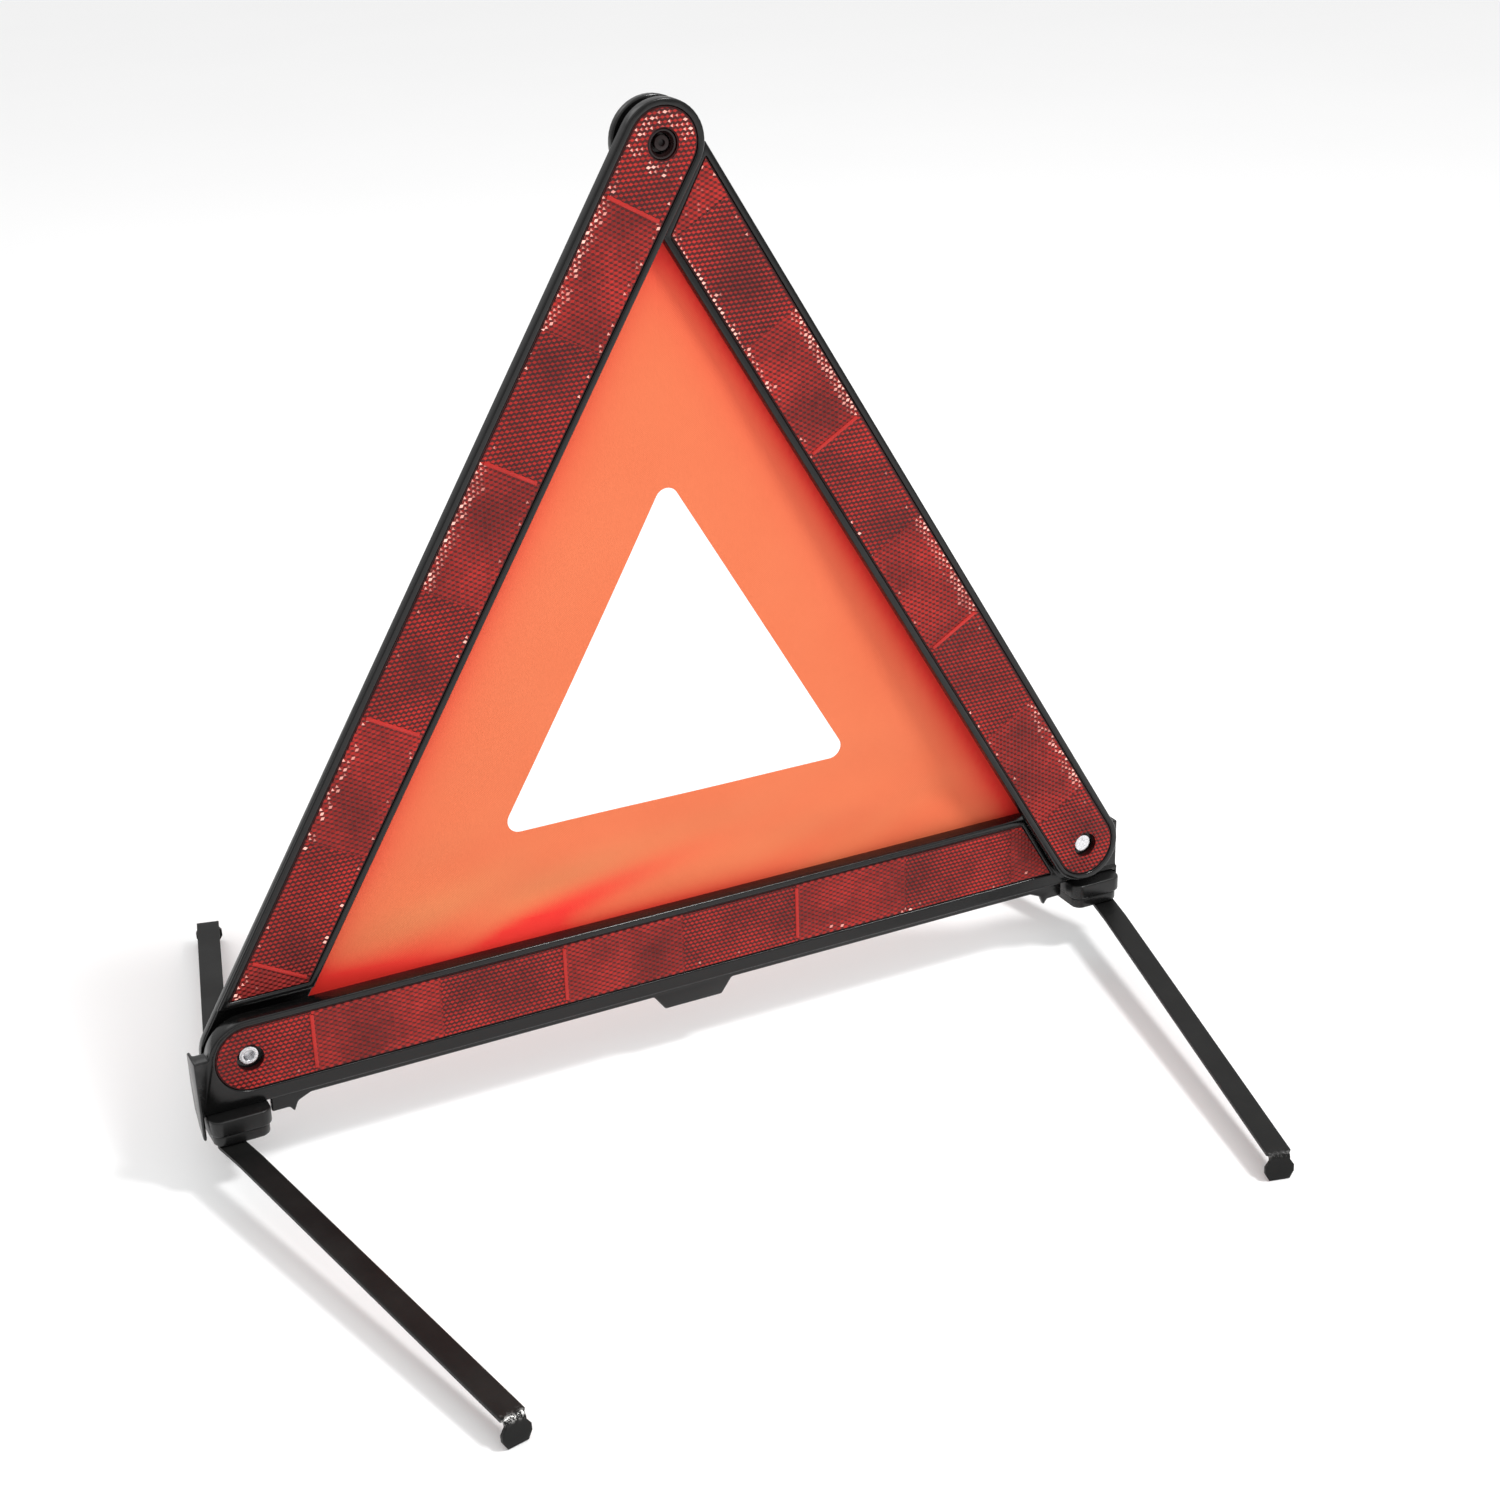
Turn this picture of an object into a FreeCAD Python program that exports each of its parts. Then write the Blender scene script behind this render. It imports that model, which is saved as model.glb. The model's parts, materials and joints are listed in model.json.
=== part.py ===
import FreeCAD, Part
import Sketcher
import math
import os

# Folding warning triangle: three flat plastic arms, each a tray with a prismatic red lens,
# a fluorescent cloth triangle between them, and four flat steel legs that swing out from
# under the two lower corners.
#
# Part frame: +Z up, origin on the ground below the middle of the base arm. The front of the
# triangle faces -Y. All three arms come from one moulding and share one arm frame:
#   x runs along the arm, from the pivot at its rounded lens end to the pivot at its lap end,
#   y points to the inside of the triangle, z points out of the lens to the front.

doc = FreeCAD.newDocument("warning_triangle")

# ---------------------------------------------------------------- driving dimensions (mm, degrees)
SIZES = [
    ("pivot_span", 420.0, "distance between two corner pivots"),
    ("pivot_height", 60.0, "height of the two lower pivots above the ground"),
    ("arm_width", 37.0, "width of an arm tray"),
    ("arm_thick", 5.5, "thickness of a side arm"),
    ("base_thick", 8.0, "thickness of the base arm"),
    ("rim_wall", 3.0, "wall around the lens"),
    ("lens_thick", 3.2, "thickness of a lens"),
    ("lens_recess", 0.7, "how far the lens lies below the rim"),
    ("lens_gap", 0.25, "clearance between lens and wall"),
    ("side_gap", 5.5, "end of a side lens to the edge of the next arm"),
    ("base_gap", 2.0, "end of the base lens to the edge of the next arm"),
    ("lap_step", 1.2, "step down of the lap end"),
    ("layer_gap", 2.05, "gap between a folded side arm and the base arm"),
    ("apex_gap", 3.0, "gap between the two side arms at the apex"),
    ("boss_round", 13.0, "diameter of the spacer boss on a lap end"),
    ("boss_clear", 0.45, "spacer boss to the neighbouring arm"),
    ("shank_round", 5.0, "rivet shank diameter"),
    ("shank_clear", 0.2, "rivet shank to its hole, radial"),
    ("head_round", 9.0, "rivet head diameter"),
    ("head_thick", 1.2, "rivet head thickness"),
    ("head_hollow", 4.6, "mouth of the hollow rivet"),
    ("hollow_deep", 3.0, "depth of the hollow"),
    ("tail_round", 8.0, "rivet tail diameter"),
    ("turn_clear", 0.25, "rivet head or washer to a turning arm"),
    ("washer_round", 11.0, "washer diameter"),
    ("washer_thick", 0.8, "washer thickness"),
    ("lens_hole", 12.5, "hole in the lens over a rivet"),
    ("apex_hole", 13.0, "hole in the lens over the apex socket"),
    ("socket_bore", 8.7, "bore of the apex socket"),
    ("socket_tall", 2.6, "height of the apex socket"),
    ("stud_round", 5.6, "apex stud diameter"),
    ("stud_head", 6.6, "apex stud bead diameter"),
    ("stud_bead", 1.1, "height of the stud's bead"),
    ("stud_tall", 4.6, "apex stud above its boss"),
    ("stud_collar", 8.0, "collar at the foot of the stud"),
    ("collar_thick", 0.8, "thickness of the collar"),
    ("sole_drop", 3.9, "sole of the base arm below the arm's lower edge"),
    ("skirt_drop", 7.2, "lower edge of the skirt below the arm's lower edge"),
    ("skirt_thick", 3.0, "thickness of skirt, tab and teeth"),
    ("tab_wide", 40.0, "centre tab, width at the skirt"),
    ("tab_narrow", 29.0, "centre tab, width at its lower edge"),
    ("tab_drop", 14.7, "centre tab below the arm's lower edge"),
    ("tooth_reach", 17.0, "tip of a leg tooth, distance inward from the pivot"),
    ("tooth_wide", 8.0, "run of a tooth back to the skirt"),
    ("tooth_back", 2.0, "run of the tooth's steep inner flank"),
    ("tooth_drop", 14.7, "tip of a leg tooth below the arm's lower edge"),
    ("heel_drop", 11.9, "skirt beside the bracket below the arm's lower edge"),
    ("corner_reach", 24.5, "corner plate beyond the pivot"),
    ("corner_rise", 4.0, "corner plate above the pivot line"),
    ("end_thick", 1.6, "thickness of the end plate of a corner"),
    ("end_back", 4.0, "end plate behind the back of the base arm"),
    ("end_drop", 12.0, "tip of the end plate below the sole"),
    ("heel_in", 7.0, "inner end of the sole's heel, inward from the pivot"),
    ("bracket_in", 5.0, "leg bracket inward from the pivot"),
    ("bracket_out", 22.0, "leg bracket outward from the pivot"),
    ("bracket_wide", 24.0, "leg bracket across the base arm"),
    ("bracket_tall", 7.5, "leg bracket height"),
    ("cover_tall", 5.5, "bracket cover height"),
    ("cover_inset", 1.0, "cover inside the bracket's outline"),
    ("bracket_round", 5.0, "corner radius of bracket and cover"),
    ("leg_out", 14.0, "leg pin beyond the corner pivot"),
    ("leg_side", 7.0, "leg pin in front of or behind the base arm"),
    ("leg_width", 11.0, "width of a leg strip"),
    ("leg_thick", 1.6, "thickness of a leg strip"),
    ("leg_reach", 222.0, "leg pin to the outside of the foot"),
    ("leg_flat", 18.0, "level root of a leg"),
    ("leg_slope", 3.3, "fall of a leg, degrees"),
    ("foot_turn", 4.0, "size of the bend above the foot"),
    ("neck_wide", 9.2, "width of the neck at the foot bend"),
    ("neck_long", 1.6, "length of the neck's notches"),
    ("foot_wide", 13.0, "greatest width of the foot plate"),
    ("foot_flare", 3.0, "height over which the foot plate widens and narrows"),
    ("leg_clear", 0.3, "leg strip to bracket cover"),
    ("pin_round", 4.0, "leg pin diameter"),
    ("pin_head", 7.5, "leg pin head diameter"),
    ("pin_head_thick", 1.2, "leg pin head thickness"),
    ("pin_clear", 0.1, "leg pin to its hole, radial"),
    ("cloth_thick", 0.6, "cloth thickness"),
    ("cloth_lap", 9.0, "cloth behind the base arm"),
    ("cloth_clear", 0.5, "cloth edge to a side arm"),
    ("window_side", 174.0, "side of the triangular window in the cloth"),
    ("window_round", 5.7, "corner radius of the window"),
    ("peg_pitch", 62.6, "distance between cloth pegs"),
    ("peg_shift", 16.8, "middle peg to the left of the middle"),
    ("peg_deep", 2.6, "cloth peg in the base arm"),
    ("peg_clear", 0.05, "cloth peg to its hole, radial"),
    ("peg_round", 3.0, "cloth peg diameter"),
    ("peg_head", 6.0, "cloth peg head diameter"),
    ("peg_head_thick", 0.6, "cloth peg head thickness"),
    ("pin_deep", 10.0, "leg pin above the leg"),
    ("overrun", 2.0, "how far a tool or a joined block runs past the face it meets"),
    ("splay_small", 11.5, "rest angle of front left and rear right leg, degrees"),
    ("splay_large", 14.0, "rest angle of front right and rear left leg, degrees"),
]

sheet = doc.addObject("Spreadsheet::Sheet", "Sizes")
for row, (alias, value, meaning) in enumerate(SIZES, start=1):
    sheet.set(f"A{row}", meaning)
    sheet.set(f"B{row}", str(value))
    sheet.setAlias(f"B{row}", alias)
doc.recompute()


def size(alias):
    """The value of one named cell."""
    return float(sheet.get(alias))


def cells(expression):
    """An expression on the sheet: each name of a cell gets the sheet's name in front of it."""
    names = {alias for alias, _, _ in SIZES}
    word, out = "", ""
    for letter in expression + " ":
        if letter.isalnum() or letter == "_":
            word += letter
            continue
        out += ("Sizes." + word if word in names else word) + letter
        word = ""
    return out.strip()


def bind(thing, **sizes):
    """Ties properties of an object to the sheet; a double underscore stands for a dot."""
    for prop, expression in sizes.items():
        thing.setExpression(prop.replace("__", "."), cells(expression))
    return thing


# ---------------------------------------------------------------- small builders
def box(name, long, wide, tall, x="0", y="0", z="0"):
    """A box from its lowest corner."""
    made = doc.addObject("Part::Box", name)
    return bind(made, Length=long, Width=wide, Height=tall,
                Placement__Base__x=x, Placement__Base__y=y, Placement__Base__z=z)


def cylinder(name, radius, tall, x="0", y="0", z="0"):
    """An upright cylinder from the centre of its lower face."""
    made = doc.addObject("Part::Cylinder", name)
    return bind(made, Radius=radius, Height=tall,
                Placement__Base__x=x, Placement__Base__y=y, Placement__Base__z=z)


def outline_pad(name, points, tall, z="0"):
    """A PartDesign body: a closed outline of straight runs on the XY plane, padded upwards."""
    body = doc.addObject("PartDesign::Body", name)
    sketch = body.newObject("Sketcher::SketchObject", name + "_outline")
    plane = [f for f in body.Origin.OriginFeatures if f.Role == "XY_Plane"][0]
    sketch.AttachmentSupport = [(plane, "")]
    sketch.MapMode = "FlatFace"
    corners = [FreeCAD.Vector(evaluate(x), evaluate(y), 0) for x, y in points]
    count = len(corners)
    for i in range(count):
        sketch.addGeometry(Part.LineSegment(corners[i], corners[(i + 1) % count]))
    for i in range(count):
        sketch.addConstraint(Sketcher.Constraint("Coincident", i, 2, (i + 1) % count, 1))
    for i, (x, y) in enumerate(points):
        for kind, expression in (("DistanceX", x), ("DistanceY", y)):
            number = sketch.addConstraint(
                Sketcher.Constraint(kind, -1, 1, i, 1, evaluate(expression)))
            sketch.setExpression(f"Constraints[{number}]", cells(expression))
    pad = body.newObject("PartDesign::Pad", name + "_pad")
    pad.Profile = sketch
    bind(pad, Length=tall)
    bind(body, Placement__Base__z=z)
    sketch.Visibility = False
    return body


def evaluate(expression):
    """The number that an expression on the sheet gives."""
    number = sheet.evalExpression(cells(expression))
    return float(getattr(number, "Value", number))


def join(name, *pieces):
    """One solid from several that overlap or share a face."""
    made = doc.addObject("Part::MultiFuse", name)
    made.Shapes = list(pieces)
    made.Refine = True
    return made


def cut(name, whole, *tools):
    """What is left of a solid after the tools are taken away."""
    tool = tools[0] if len(tools) == 1 else join(name + "_tools", *tools)
    made = doc.addObject("Part::Cut", name)
    made.Base = whole
    made.Tool = tool
    made.Refine = True
    return made


sub_parts = []


def sub_part(made, label, placement=None):
    """Names a finished sub-part and puts it in its place."""
    made.Label = label
    if placement is not None:
        made.Placement = placement
    sub_parts.append(made)
    return made


# ---------------------------------------------------------------- shared places
HALF = "arm_width / 2"
WALL_HALF = "(arm_width / 2 - rim_wall)"
LENS_HALF = "(arm_width / 2 - rim_wall - lens_gap)"
POCKET_DEEP = "(lens_thick + lens_recess)"
SIDE_CUT = "(arm_width / 2 + side_gap)"
BASE_CUT = "(arm_width / 2 + base_gap)"
SOLE = "(arm_width / 2 + sole_drop)"
SKIRT = "(arm_width / 2 + skirt_drop)"
HEEL = "(arm_width / 2 + heel_drop)"
TAB = "(arm_width / 2 + tab_drop)"
TOOTH = "(arm_width / 2 + tooth_drop)"
PEG_RISE = "(arm_width / 2 - cloth_lap / 2)"
BOSS_TALL = "(layer_gap + lap_step - boss_clear)"
LEAN = "asin((base_thick / 2 + layer_gap + arm_thick + apex_gap / 2) / (pivot_span * sin(60 deg)))"
APEX_BOSS_TALL = f"(apex_gap + lap_step - boss_clear - boss_round / 2 * tan(2 * {LEAN}))"
SHANK_HOLE = "(shank_round / 2 + shank_clear)"
LEG_HEIGHT = f"(pivot_height - {SOLE} - bracket_tall - cover_tall - leg_clear)"

side_offset = evaluate("base_thick / 2 + layer_gap + arm_thick / 2")
apex_offset = evaluate("apex_gap / 2 + arm_thick / 2")
rise_along = evaluate("pivot_span * sin(60 deg)")
lean = math.radians(evaluate(LEAN))
half_span = size("pivot_span") / 2
pivot_height = size("pivot_height")


def frame_at(origin, along, front):
    """The placement of an arm frame: x along the arm, z to the front."""
    inward = front.cross(along)
    return FreeCAD.Placement(origin, FreeCAD.Rotation(along, inward, front, "XYZ"))


def side_arm_frame(side):
    """Left arm for side -1, right arm for side +1. Each leans a little, so that its lap end lies
    behind its neighbour and its rounded end lies in front of the other."""
    across = FreeCAD.Vector(1, 0, 0)
    upward = FreeCAD.Vector(0, side * math.sin(lean), math.cos(lean))
    front = across.cross(upward)
    if side < 0:
        pivot = FreeCAD.Vector(0, -apex_offset, pivot_height + rise_along * math.cos(lean))
        along = across * -0.5 - upward * math.sin(math.radians(60))
    else:
        pivot = FreeCAD.Vector(half_span, -side_offset, pivot_height)
        along = across * -0.5 + upward * math.sin(math.radians(60))
    return frame_at(pivot - front * (size("arm_thick") / 2), along, front)


base_frame = frame_at(FreeCAD.Vector(-half_span, size("base_thick") / 2, pivot_height),
                      FreeCAD.Vector(1, 0, 0), FreeCAD.Vector(0, -1, 0))
left_frame = side_arm_frame(-1)
right_frame = side_arm_frame(1)


# ---------------------------------------------------------------- arms
def cut_line(margin, y):
    """Where a line parallel to the neighbour's centre line crosses the height y."""
    return f"(pivot_span - ({margin}) / sin(60 deg) - ({y}) * tan(30 deg))"


def lens_shape(name, half, margin, tall, z):
    """A bar with a round end at the pivot and an oblique end beside the next arm."""
    low = cut_line(margin, f"-{half}")
    high = cut_line(margin, half)
    bar = outline_pad(name + "_bar",
                      [("0", f"-{half}"), (low, f"-{half}"), (high, half), ("0", half)], tall, z)
    end = cylinder(name + "_end", half, tall, z=z)
    return join(name, bar, end)


def arm_tray(name, thick, margin, hole, boss_tall, extras=(), extra_cuts=()):
    """A tray with a pocket for the lens, a thinner lap end and a spacer boss on it."""
    body = [
        box(name + "_run", "pivot_span", "arm_width", thick, y=f"-{HALF}"),
        cylinder(name + "_round", HALF, thick),
        cylinder(name + "_lap_round", HALF, thick, x="pivot_span"),
    ]
    solid = join(name + "_blank", *body, *extras)
    pocket = lens_shape(name + "_pocket", WALL_HALF, f"{margin} - lens_gap",
                        f"{POCKET_DEEP} + overrun", f"{thick} - {POCKET_DEEP}")
    beyond = f"{margin} - lens_gap - rim_wall"
    wide = f"({HALF} + overrun)"
    far = f"pivot_span + {HALF} + corner_reach"
    step = outline_pad(name + "_step",
                       [(cut_line(beyond, f"-{wide}"), f"-{wide}"), (far, f"-{wide}"),
                        (far, wide), (cut_line(beyond, wide), wide)],
                       "lap_step + overrun", f"{thick} - lap_step")
    stepped = cut(name + "_stepped", solid, pocket, step)
    boss = cylinder(name + "_boss", "boss_round / 2", f"lap_step + {boss_tall}",
                    x="pivot_span", z=f"{thick} - 2 * lap_step")
    raised = join(name + "_raised", stepped, boss)
    through = f"{thick} + {boss_tall} + 2 * overrun"
    holes = [
        cylinder(name + "_hole", hole, through, z="-overrun"),
        cylinder(name + "_lap_hole", SHANK_HOLE, through, x="pivot_span", z="-overrun"),
    ]
    return cut(name, raised, *holes, *extra_cuts)


def arm_lens(name, thick, margin, hole_round):
    """The prismatic lens, resting on the floor of its tray."""
    blank = lens_shape(name + "_blank", LENS_HALF, margin, "lens_thick",
                       f"{thick} - {POCKET_DEEP}")
    eye = cylinder(name + "_eye", f"{hole_round} / 2", f"{thick} + overrun")
    return cut(name, blank, eye)


sub_part(arm_tray("left_tray", "arm_thick", SIDE_CUT, "socket_bore / 2", BOSS_TALL),
         "left_arm_tray", left_frame)
sub_part(arm_lens("left_lens", "arm_thick", SIDE_CUT, "apex_hole"),
         "left_arm_lens", left_frame)
sub_part(arm_tray("right_tray", "arm_thick", SIDE_CUT, SHANK_HOLE, APEX_BOSS_TALL),
         "right_arm_tray", right_frame)
sub_part(arm_lens("right_lens", "arm_thick", SIDE_CUT, "lens_hole"),
         "right_arm_lens", right_frame)

# ---------------------------------------------------------------- base arm
SKIRT_LOW = "(base_thick - skirt_thick) / 2"
MIDDLE = "pivot_span / 2"


def mirrored(points):
    """The same points on the other side of the middle, in the opposite order."""
    return [(f"pivot_span - ({x})", y) for x, y in reversed(points)]


left_of_middle = [
    ("heel_in", f"-{SOLE} + overrun"),
    ("heel_in", f"-{HEEL}"),
    ("tooth_reach - tooth_back", f"-{HEEL}"),
    ("tooth_reach", f"-{TOOTH}"),
    ("tooth_reach + tooth_back", f"-{HEEL} + tooth_back"),
    ("tooth_reach + tooth_wide", f"-{SKIRT}"),
    ("pivot_span / 2 - tab_wide / 2", f"-{SKIRT}"),
    ("pivot_span / 2 - tab_narrow / 2", f"-{TAB}"),
]
skirt = outline_pad("skirt", left_of_middle + mirrored(left_of_middle), "skirt_thick", SKIRT_LOW)
sole = box("sole", "pivot_span + 2 * corner_reach", f"{SOLE} - arm_width / 4", "base_thick",
           x="-corner_reach", y=f"-{SOLE}")
corners = [
    box("left_corner", "corner_reach", f"{SOLE} + corner_rise", "base_thick",
        x="-corner_reach", y=f"-{SOLE}"),
    box("right_corner", "corner_reach", f"{SOLE} + corner_rise", "base_thick",
        x="pivot_span", y=f"-{SOLE}"),
]


def end_plate(name, x):
    """The D-shaped plate that closes a corner: straight in front, curved behind, pointed below."""
    edge = [("-base_thick", "corner_rise"), ("end_back", "corner_rise"),
            ("end_back", f"-{SOLE} / 2"), ("end_back * 0.6", f"-{SOLE}"),
            ("-end_back * 0.6", f"-{SOLE} - end_drop * 0.62"),
            ("-base_thick", f"-{SOLE} - end_drop")]
    plate = outline_pad(name, edge, "end_thick")
    plate.Placement.Rotation = FreeCAD.Rotation(FreeCAD.Vector(0, 1, 0), 90)
    return bind(plate, Placement__Base__x=x)


ends = [end_plate("left_end", "-corner_reach"),
        end_plate("right_end", "pivot_span + corner_reach - end_thick")]
tail_pocket = cylinder("tail_pocket", "washer_round / 2 + turn_clear",
                       "head_thick + washer_thick + turn_clear + overrun",
                       x="pivot_span", z="-overrun")
peg_places = [f"{MIDDLE} - peg_shift + {i} * peg_pitch" for i in range(-2, 3)]
peg_holes = [cylinder(f"peg_hole_{i}", "peg_round / 2 + peg_clear", "peg_deep + overrun",
                      x=x, y=PEG_RISE, z="-overrun") for i, x in enumerate(peg_places)]
sub_part(arm_tray("base_tray_solid", "base_thick", BASE_CUT, SHANK_HOLE, BOSS_TALL,
                  extras=[skirt, sole, *corners, *ends], extra_cuts=[tail_pocket, *peg_holes]),
         "base_tray", base_frame)
sub_part(arm_lens("base_lens_solid", "base_thick", BASE_CUT, "lens_hole"),
         "base_lens", base_frame)

# ---------------------------------------------------------------- corner rivets
# Both rivets run front to back. The left one joins the rounded end of the base arm to the lap
# end of the left arm behind it, the right one joins the rounded end of the right arm to the
# lap end of the base arm.
BASE_FLOOR = f"(base_thick - {POCKET_DEEP})"
LEFT_BACK = "(-(layer_gap + arm_thick + turn_clear))"
RIGHT_SEAT = f"(base_thick + layer_gap + arm_thick - {POCKET_DEEP} + turn_clear)"
TAIL_SEAT = "(head_thick + turn_clear)"

left_shank = cylinder("left_shank", "shank_round / 2",
                      f"{BASE_FLOOR} - {LEFT_BACK} + washer_thick",
                      z=f"{LEFT_BACK} - washer_thick")
left_head = cylinder("left_head", "head_round / 2", "head_thick", z=BASE_FLOOR)
left_tail = cylinder("left_tail", "tail_round / 2", "head_thick",
                     z=f"{LEFT_BACK} - washer_thick - head_thick")
hollow = cylinder("hollow", "head_hollow / 2", "hollow_deep + overrun",
                  z=f"{BASE_FLOOR} + head_thick - hollow_deep")
sub_part(cut("left_rivet_solid", join("left_rivet_blank", left_shank, left_head, left_tail),
             hollow), "left_rivet", base_frame)

right_shank = cylinder("right_shank", "shank_round / 2", f"{RIGHT_SEAT} - {TAIL_SEAT}",
                       x="pivot_span", z=TAIL_SEAT)
right_head = cylinder("right_head", "head_round / 2", "head_thick",
                      x="pivot_span", z=RIGHT_SEAT)
right_tail = cylinder("right_tail", "tail_round / 2", "head_thick",
                      x="pivot_span", z=f"{TAIL_SEAT} - head_thick")
sub_part(join("right_rivet_solid", right_shank, right_head, right_tail),
         "right_rivet", base_frame)


def washer(name, x, z):
    """A plain washer round a rivet shank."""
    disc = cylinder(name + "_disc", "washer_round / 2", "washer_thick", x=x, z=z)
    bore = cylinder(name + "_bore", "shank_round / 2", "washer_thick + 2 * overrun",
                    x=x, z=f"{z} - overrun")
    return cut(name, disc, bore)


sub_part(washer("left_washer", "0", f"{LEFT_BACK} - washer_thick"),
         "left_rivet_washer", base_frame)
sub_part(washer("right_washer", "pivot_span", TAIL_SEAT),
         "right_rivet_washer", base_frame)

# ---------------------------------------------------------------- apex catch
FLOOR = f"(arm_thick - {POCKET_DEEP})"
socket_ring = cylinder("socket_ring", "apex_hole / 2 - lens_gap", "socket_tall", z=FLOOR)
socket_hole = cylinder("socket_hole", "socket_bore / 2", "socket_tall + arm_thick", z="0")
sub_part(cut("socket_solid", socket_ring, socket_hole), "apex_socket", left_frame)

STUD_FOOT = f"(arm_thick - lap_step + {APEX_BOSS_TALL})"
stud_parts = [
    cylinder("stud_shank", "shank_round / 2", f"{STUD_FOOT} - turn_clear",
             x="pivot_span", z="turn_clear"),
    cylinder("stud_collar_disc", "stud_collar / 2", "collar_thick", x="pivot_span", z=STUD_FOOT),
    cylinder("stud_post", "stud_round / 2", "stud_tall", x="pivot_span", z=STUD_FOOT),
    cylinder("stud_bead_disc", "stud_head / 2", "stud_bead", x="pivot_span",
             z=f"{STUD_FOOT} + stud_tall - stud_bead"),
]
sub_part(join("stud_solid", *stud_parts), "apex_stud", right_frame)

# ---------------------------------------------------------------- cloth
EDGE = "((arm_width / 2 + cloth_clear) / sin(60 deg))"
LOW = "(arm_width / 2 - cloth_lap)"
cloth_blank = outline_pad("cloth_blank", [
    (f"{EDGE} + {LOW} / tan(60 deg)", LOW),
    (f"pivot_span - {EDGE} - {LOW} / tan(60 deg)", LOW),
    (MIDDLE, f"({MIDDLE} - {EDGE}) * tan(60 deg)"),
], "cloth_thick", "-cloth_thick")

CENTRE = "(pivot_span / 2 * tan(30 deg))"
CORNER_OUT = "((window_side - 2 * window_round * tan(60 deg)) / (2 * sin(60 deg)))"
OPEN_DEEP = "cloth_thick + 2 * overrun"


def window_corner(turn):
    """The centre of a rounded window corner, at an angle about the middle of the triangle."""
    return (f"{MIDDLE} + {CORNER_OUT} * cos({turn} deg)",
            f"{CENTRE} + {CORNER_OUT} * sin({turn} deg)")


window_points = []
window_rounds = []
for number, turn in enumerate((90, 210, 330)):
    x, y = window_corner(turn)
    window_rounds.append(cylinder(f"window_round_{number}", "window_round", OPEN_DEEP,
                                  x=x, y=y, z="-cloth_thick - overrun"))
    for side in (turn - 60, turn + 60):
        window_points.append((f"{x} + window_round * cos({side} deg)",
                              f"{y} + window_round * sin({side} deg)"))
window = outline_pad("window", window_points, OPEN_DEEP, "-cloth_thick - overrun")
cloth_holes = [cylinder(f"cloth_hole_{i}", "peg_round / 2 + peg_clear", OPEN_DEEP,
                        x=x, y=PEG_RISE, z="-cloth_thick - overrun")
               for i, x in enumerate(peg_places)]
sub_part(cut("cloth_solid", cloth_blank, window, *window_rounds, *cloth_holes),
         "fabric_panel", base_frame)


def peg(number, x):
    """One peg: a round head behind the cloth and a shank into the base arm."""
    head = cylinder(f"peg_head_{number}", "peg_head / 2", "peg_head_thick",
                    x=x, y=PEG_RISE, z="-cloth_thick - peg_head_thick")
    shank = cylinder(f"peg_shank_{number}", "peg_round / 2", "cloth_thick + peg_deep",
                     x=x, y=PEG_RISE, z="-cloth_thick")
    return join(f"peg_{number}", head, shank)


pegs = doc.addObject("Part::Compound", "pegs")
pegs.Links = [peg(i, x) for i, x in enumerate(peg_places)]
sub_part(pegs, "fabric_pegs", base_frame)

# ---------------------------------------------------------------- leg brackets, pins and legs
# These are built in a corner frame: x runs outwards from the corner pivot, z is up from the
# pivot line, and y is across the base arm.
def rounded_block(name, inner, outer, half_wide, tall, z, round_off):
    """A block with its four upright edges rounded."""
    long = f"({inner} + {outer})"
    wide = f"(2 * {half_wide})"
    pieces = [
        box(name + "_long", long, f"{wide} - 2 * {round_off}", tall,
            x=f"-{inner}", y=f"-{half_wide} + {round_off}", z=z),
        box(name + "_wide", f"{long} - 2 * {round_off}", wide, tall,
            x=f"-{inner} + {round_off}", y=f"-{half_wide}", z=z),
    ]
    for i, x in enumerate((f"-{inner} + {round_off}", f"{outer} - {round_off}")):
        for j, y in enumerate((f"-{half_wide} + {round_off}", f"{half_wide} - {round_off}")):
            pieces.append(cylinder(f"{name}_round_{i}{j}", round_off, tall, x=x, y=y, z=z))
    return join(name, *pieces)


def pin_holes(name, z, tall):
    """The two pin holes of a bracket or cover."""
    return [cylinder(f"{name}_{word}", "pin_round / 2 + pin_clear", tall,
                     x="leg_out", y=f"{sign} * leg_side", z=z)
            for word, sign in (("front", -1), ("rear", 1))]


def corner_frame(side):
    """The corner frame at the left (-1) or the right (+1) pivot."""
    turn = 180 if side < 0 else 0
    return FreeCAD.Placement(FreeCAD.Vector(side * half_span, 0, pivot_height),
                             FreeCAD.Rotation(FreeCAD.Vector(0, 0, 1), turn))


COVER_LOW = f"(-{SOLE} - bracket_tall - cover_tall)"
for side, word in ((-1, "left"), (1, "right")):
    block = rounded_block(word + "_block", "bracket_in", "bracket_out", "bracket_wide / 2",
                          "bracket_tall", f"-{SOLE} - bracket_tall", "bracket_round")
    blind = pin_holes(word + "_block_hole", f"{COVER_LOW} - overrun",
                      "pin_deep + overrun - leg_clear")
    sub_part(cut(word + "_bracket_solid", block, *blind),
             word + "_leg_bracket", corner_frame(side))
    lid = rounded_block(word + "_lid", "(bracket_in - cover_inset)",
                        "(bracket_out - cover_inset)", "(bracket_wide / 2 - cover_inset)",
                        "cover_tall", COVER_LOW, "bracket_round")
    sub_part(cut(word + "_cover_solid", lid,
                 *pin_holes(word + "_lid_hole", f"{COVER_LOW} - overrun",
                            "cover_tall + 2 * overrun")),
             word + "_bracket_cover", corner_frame(side))


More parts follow.
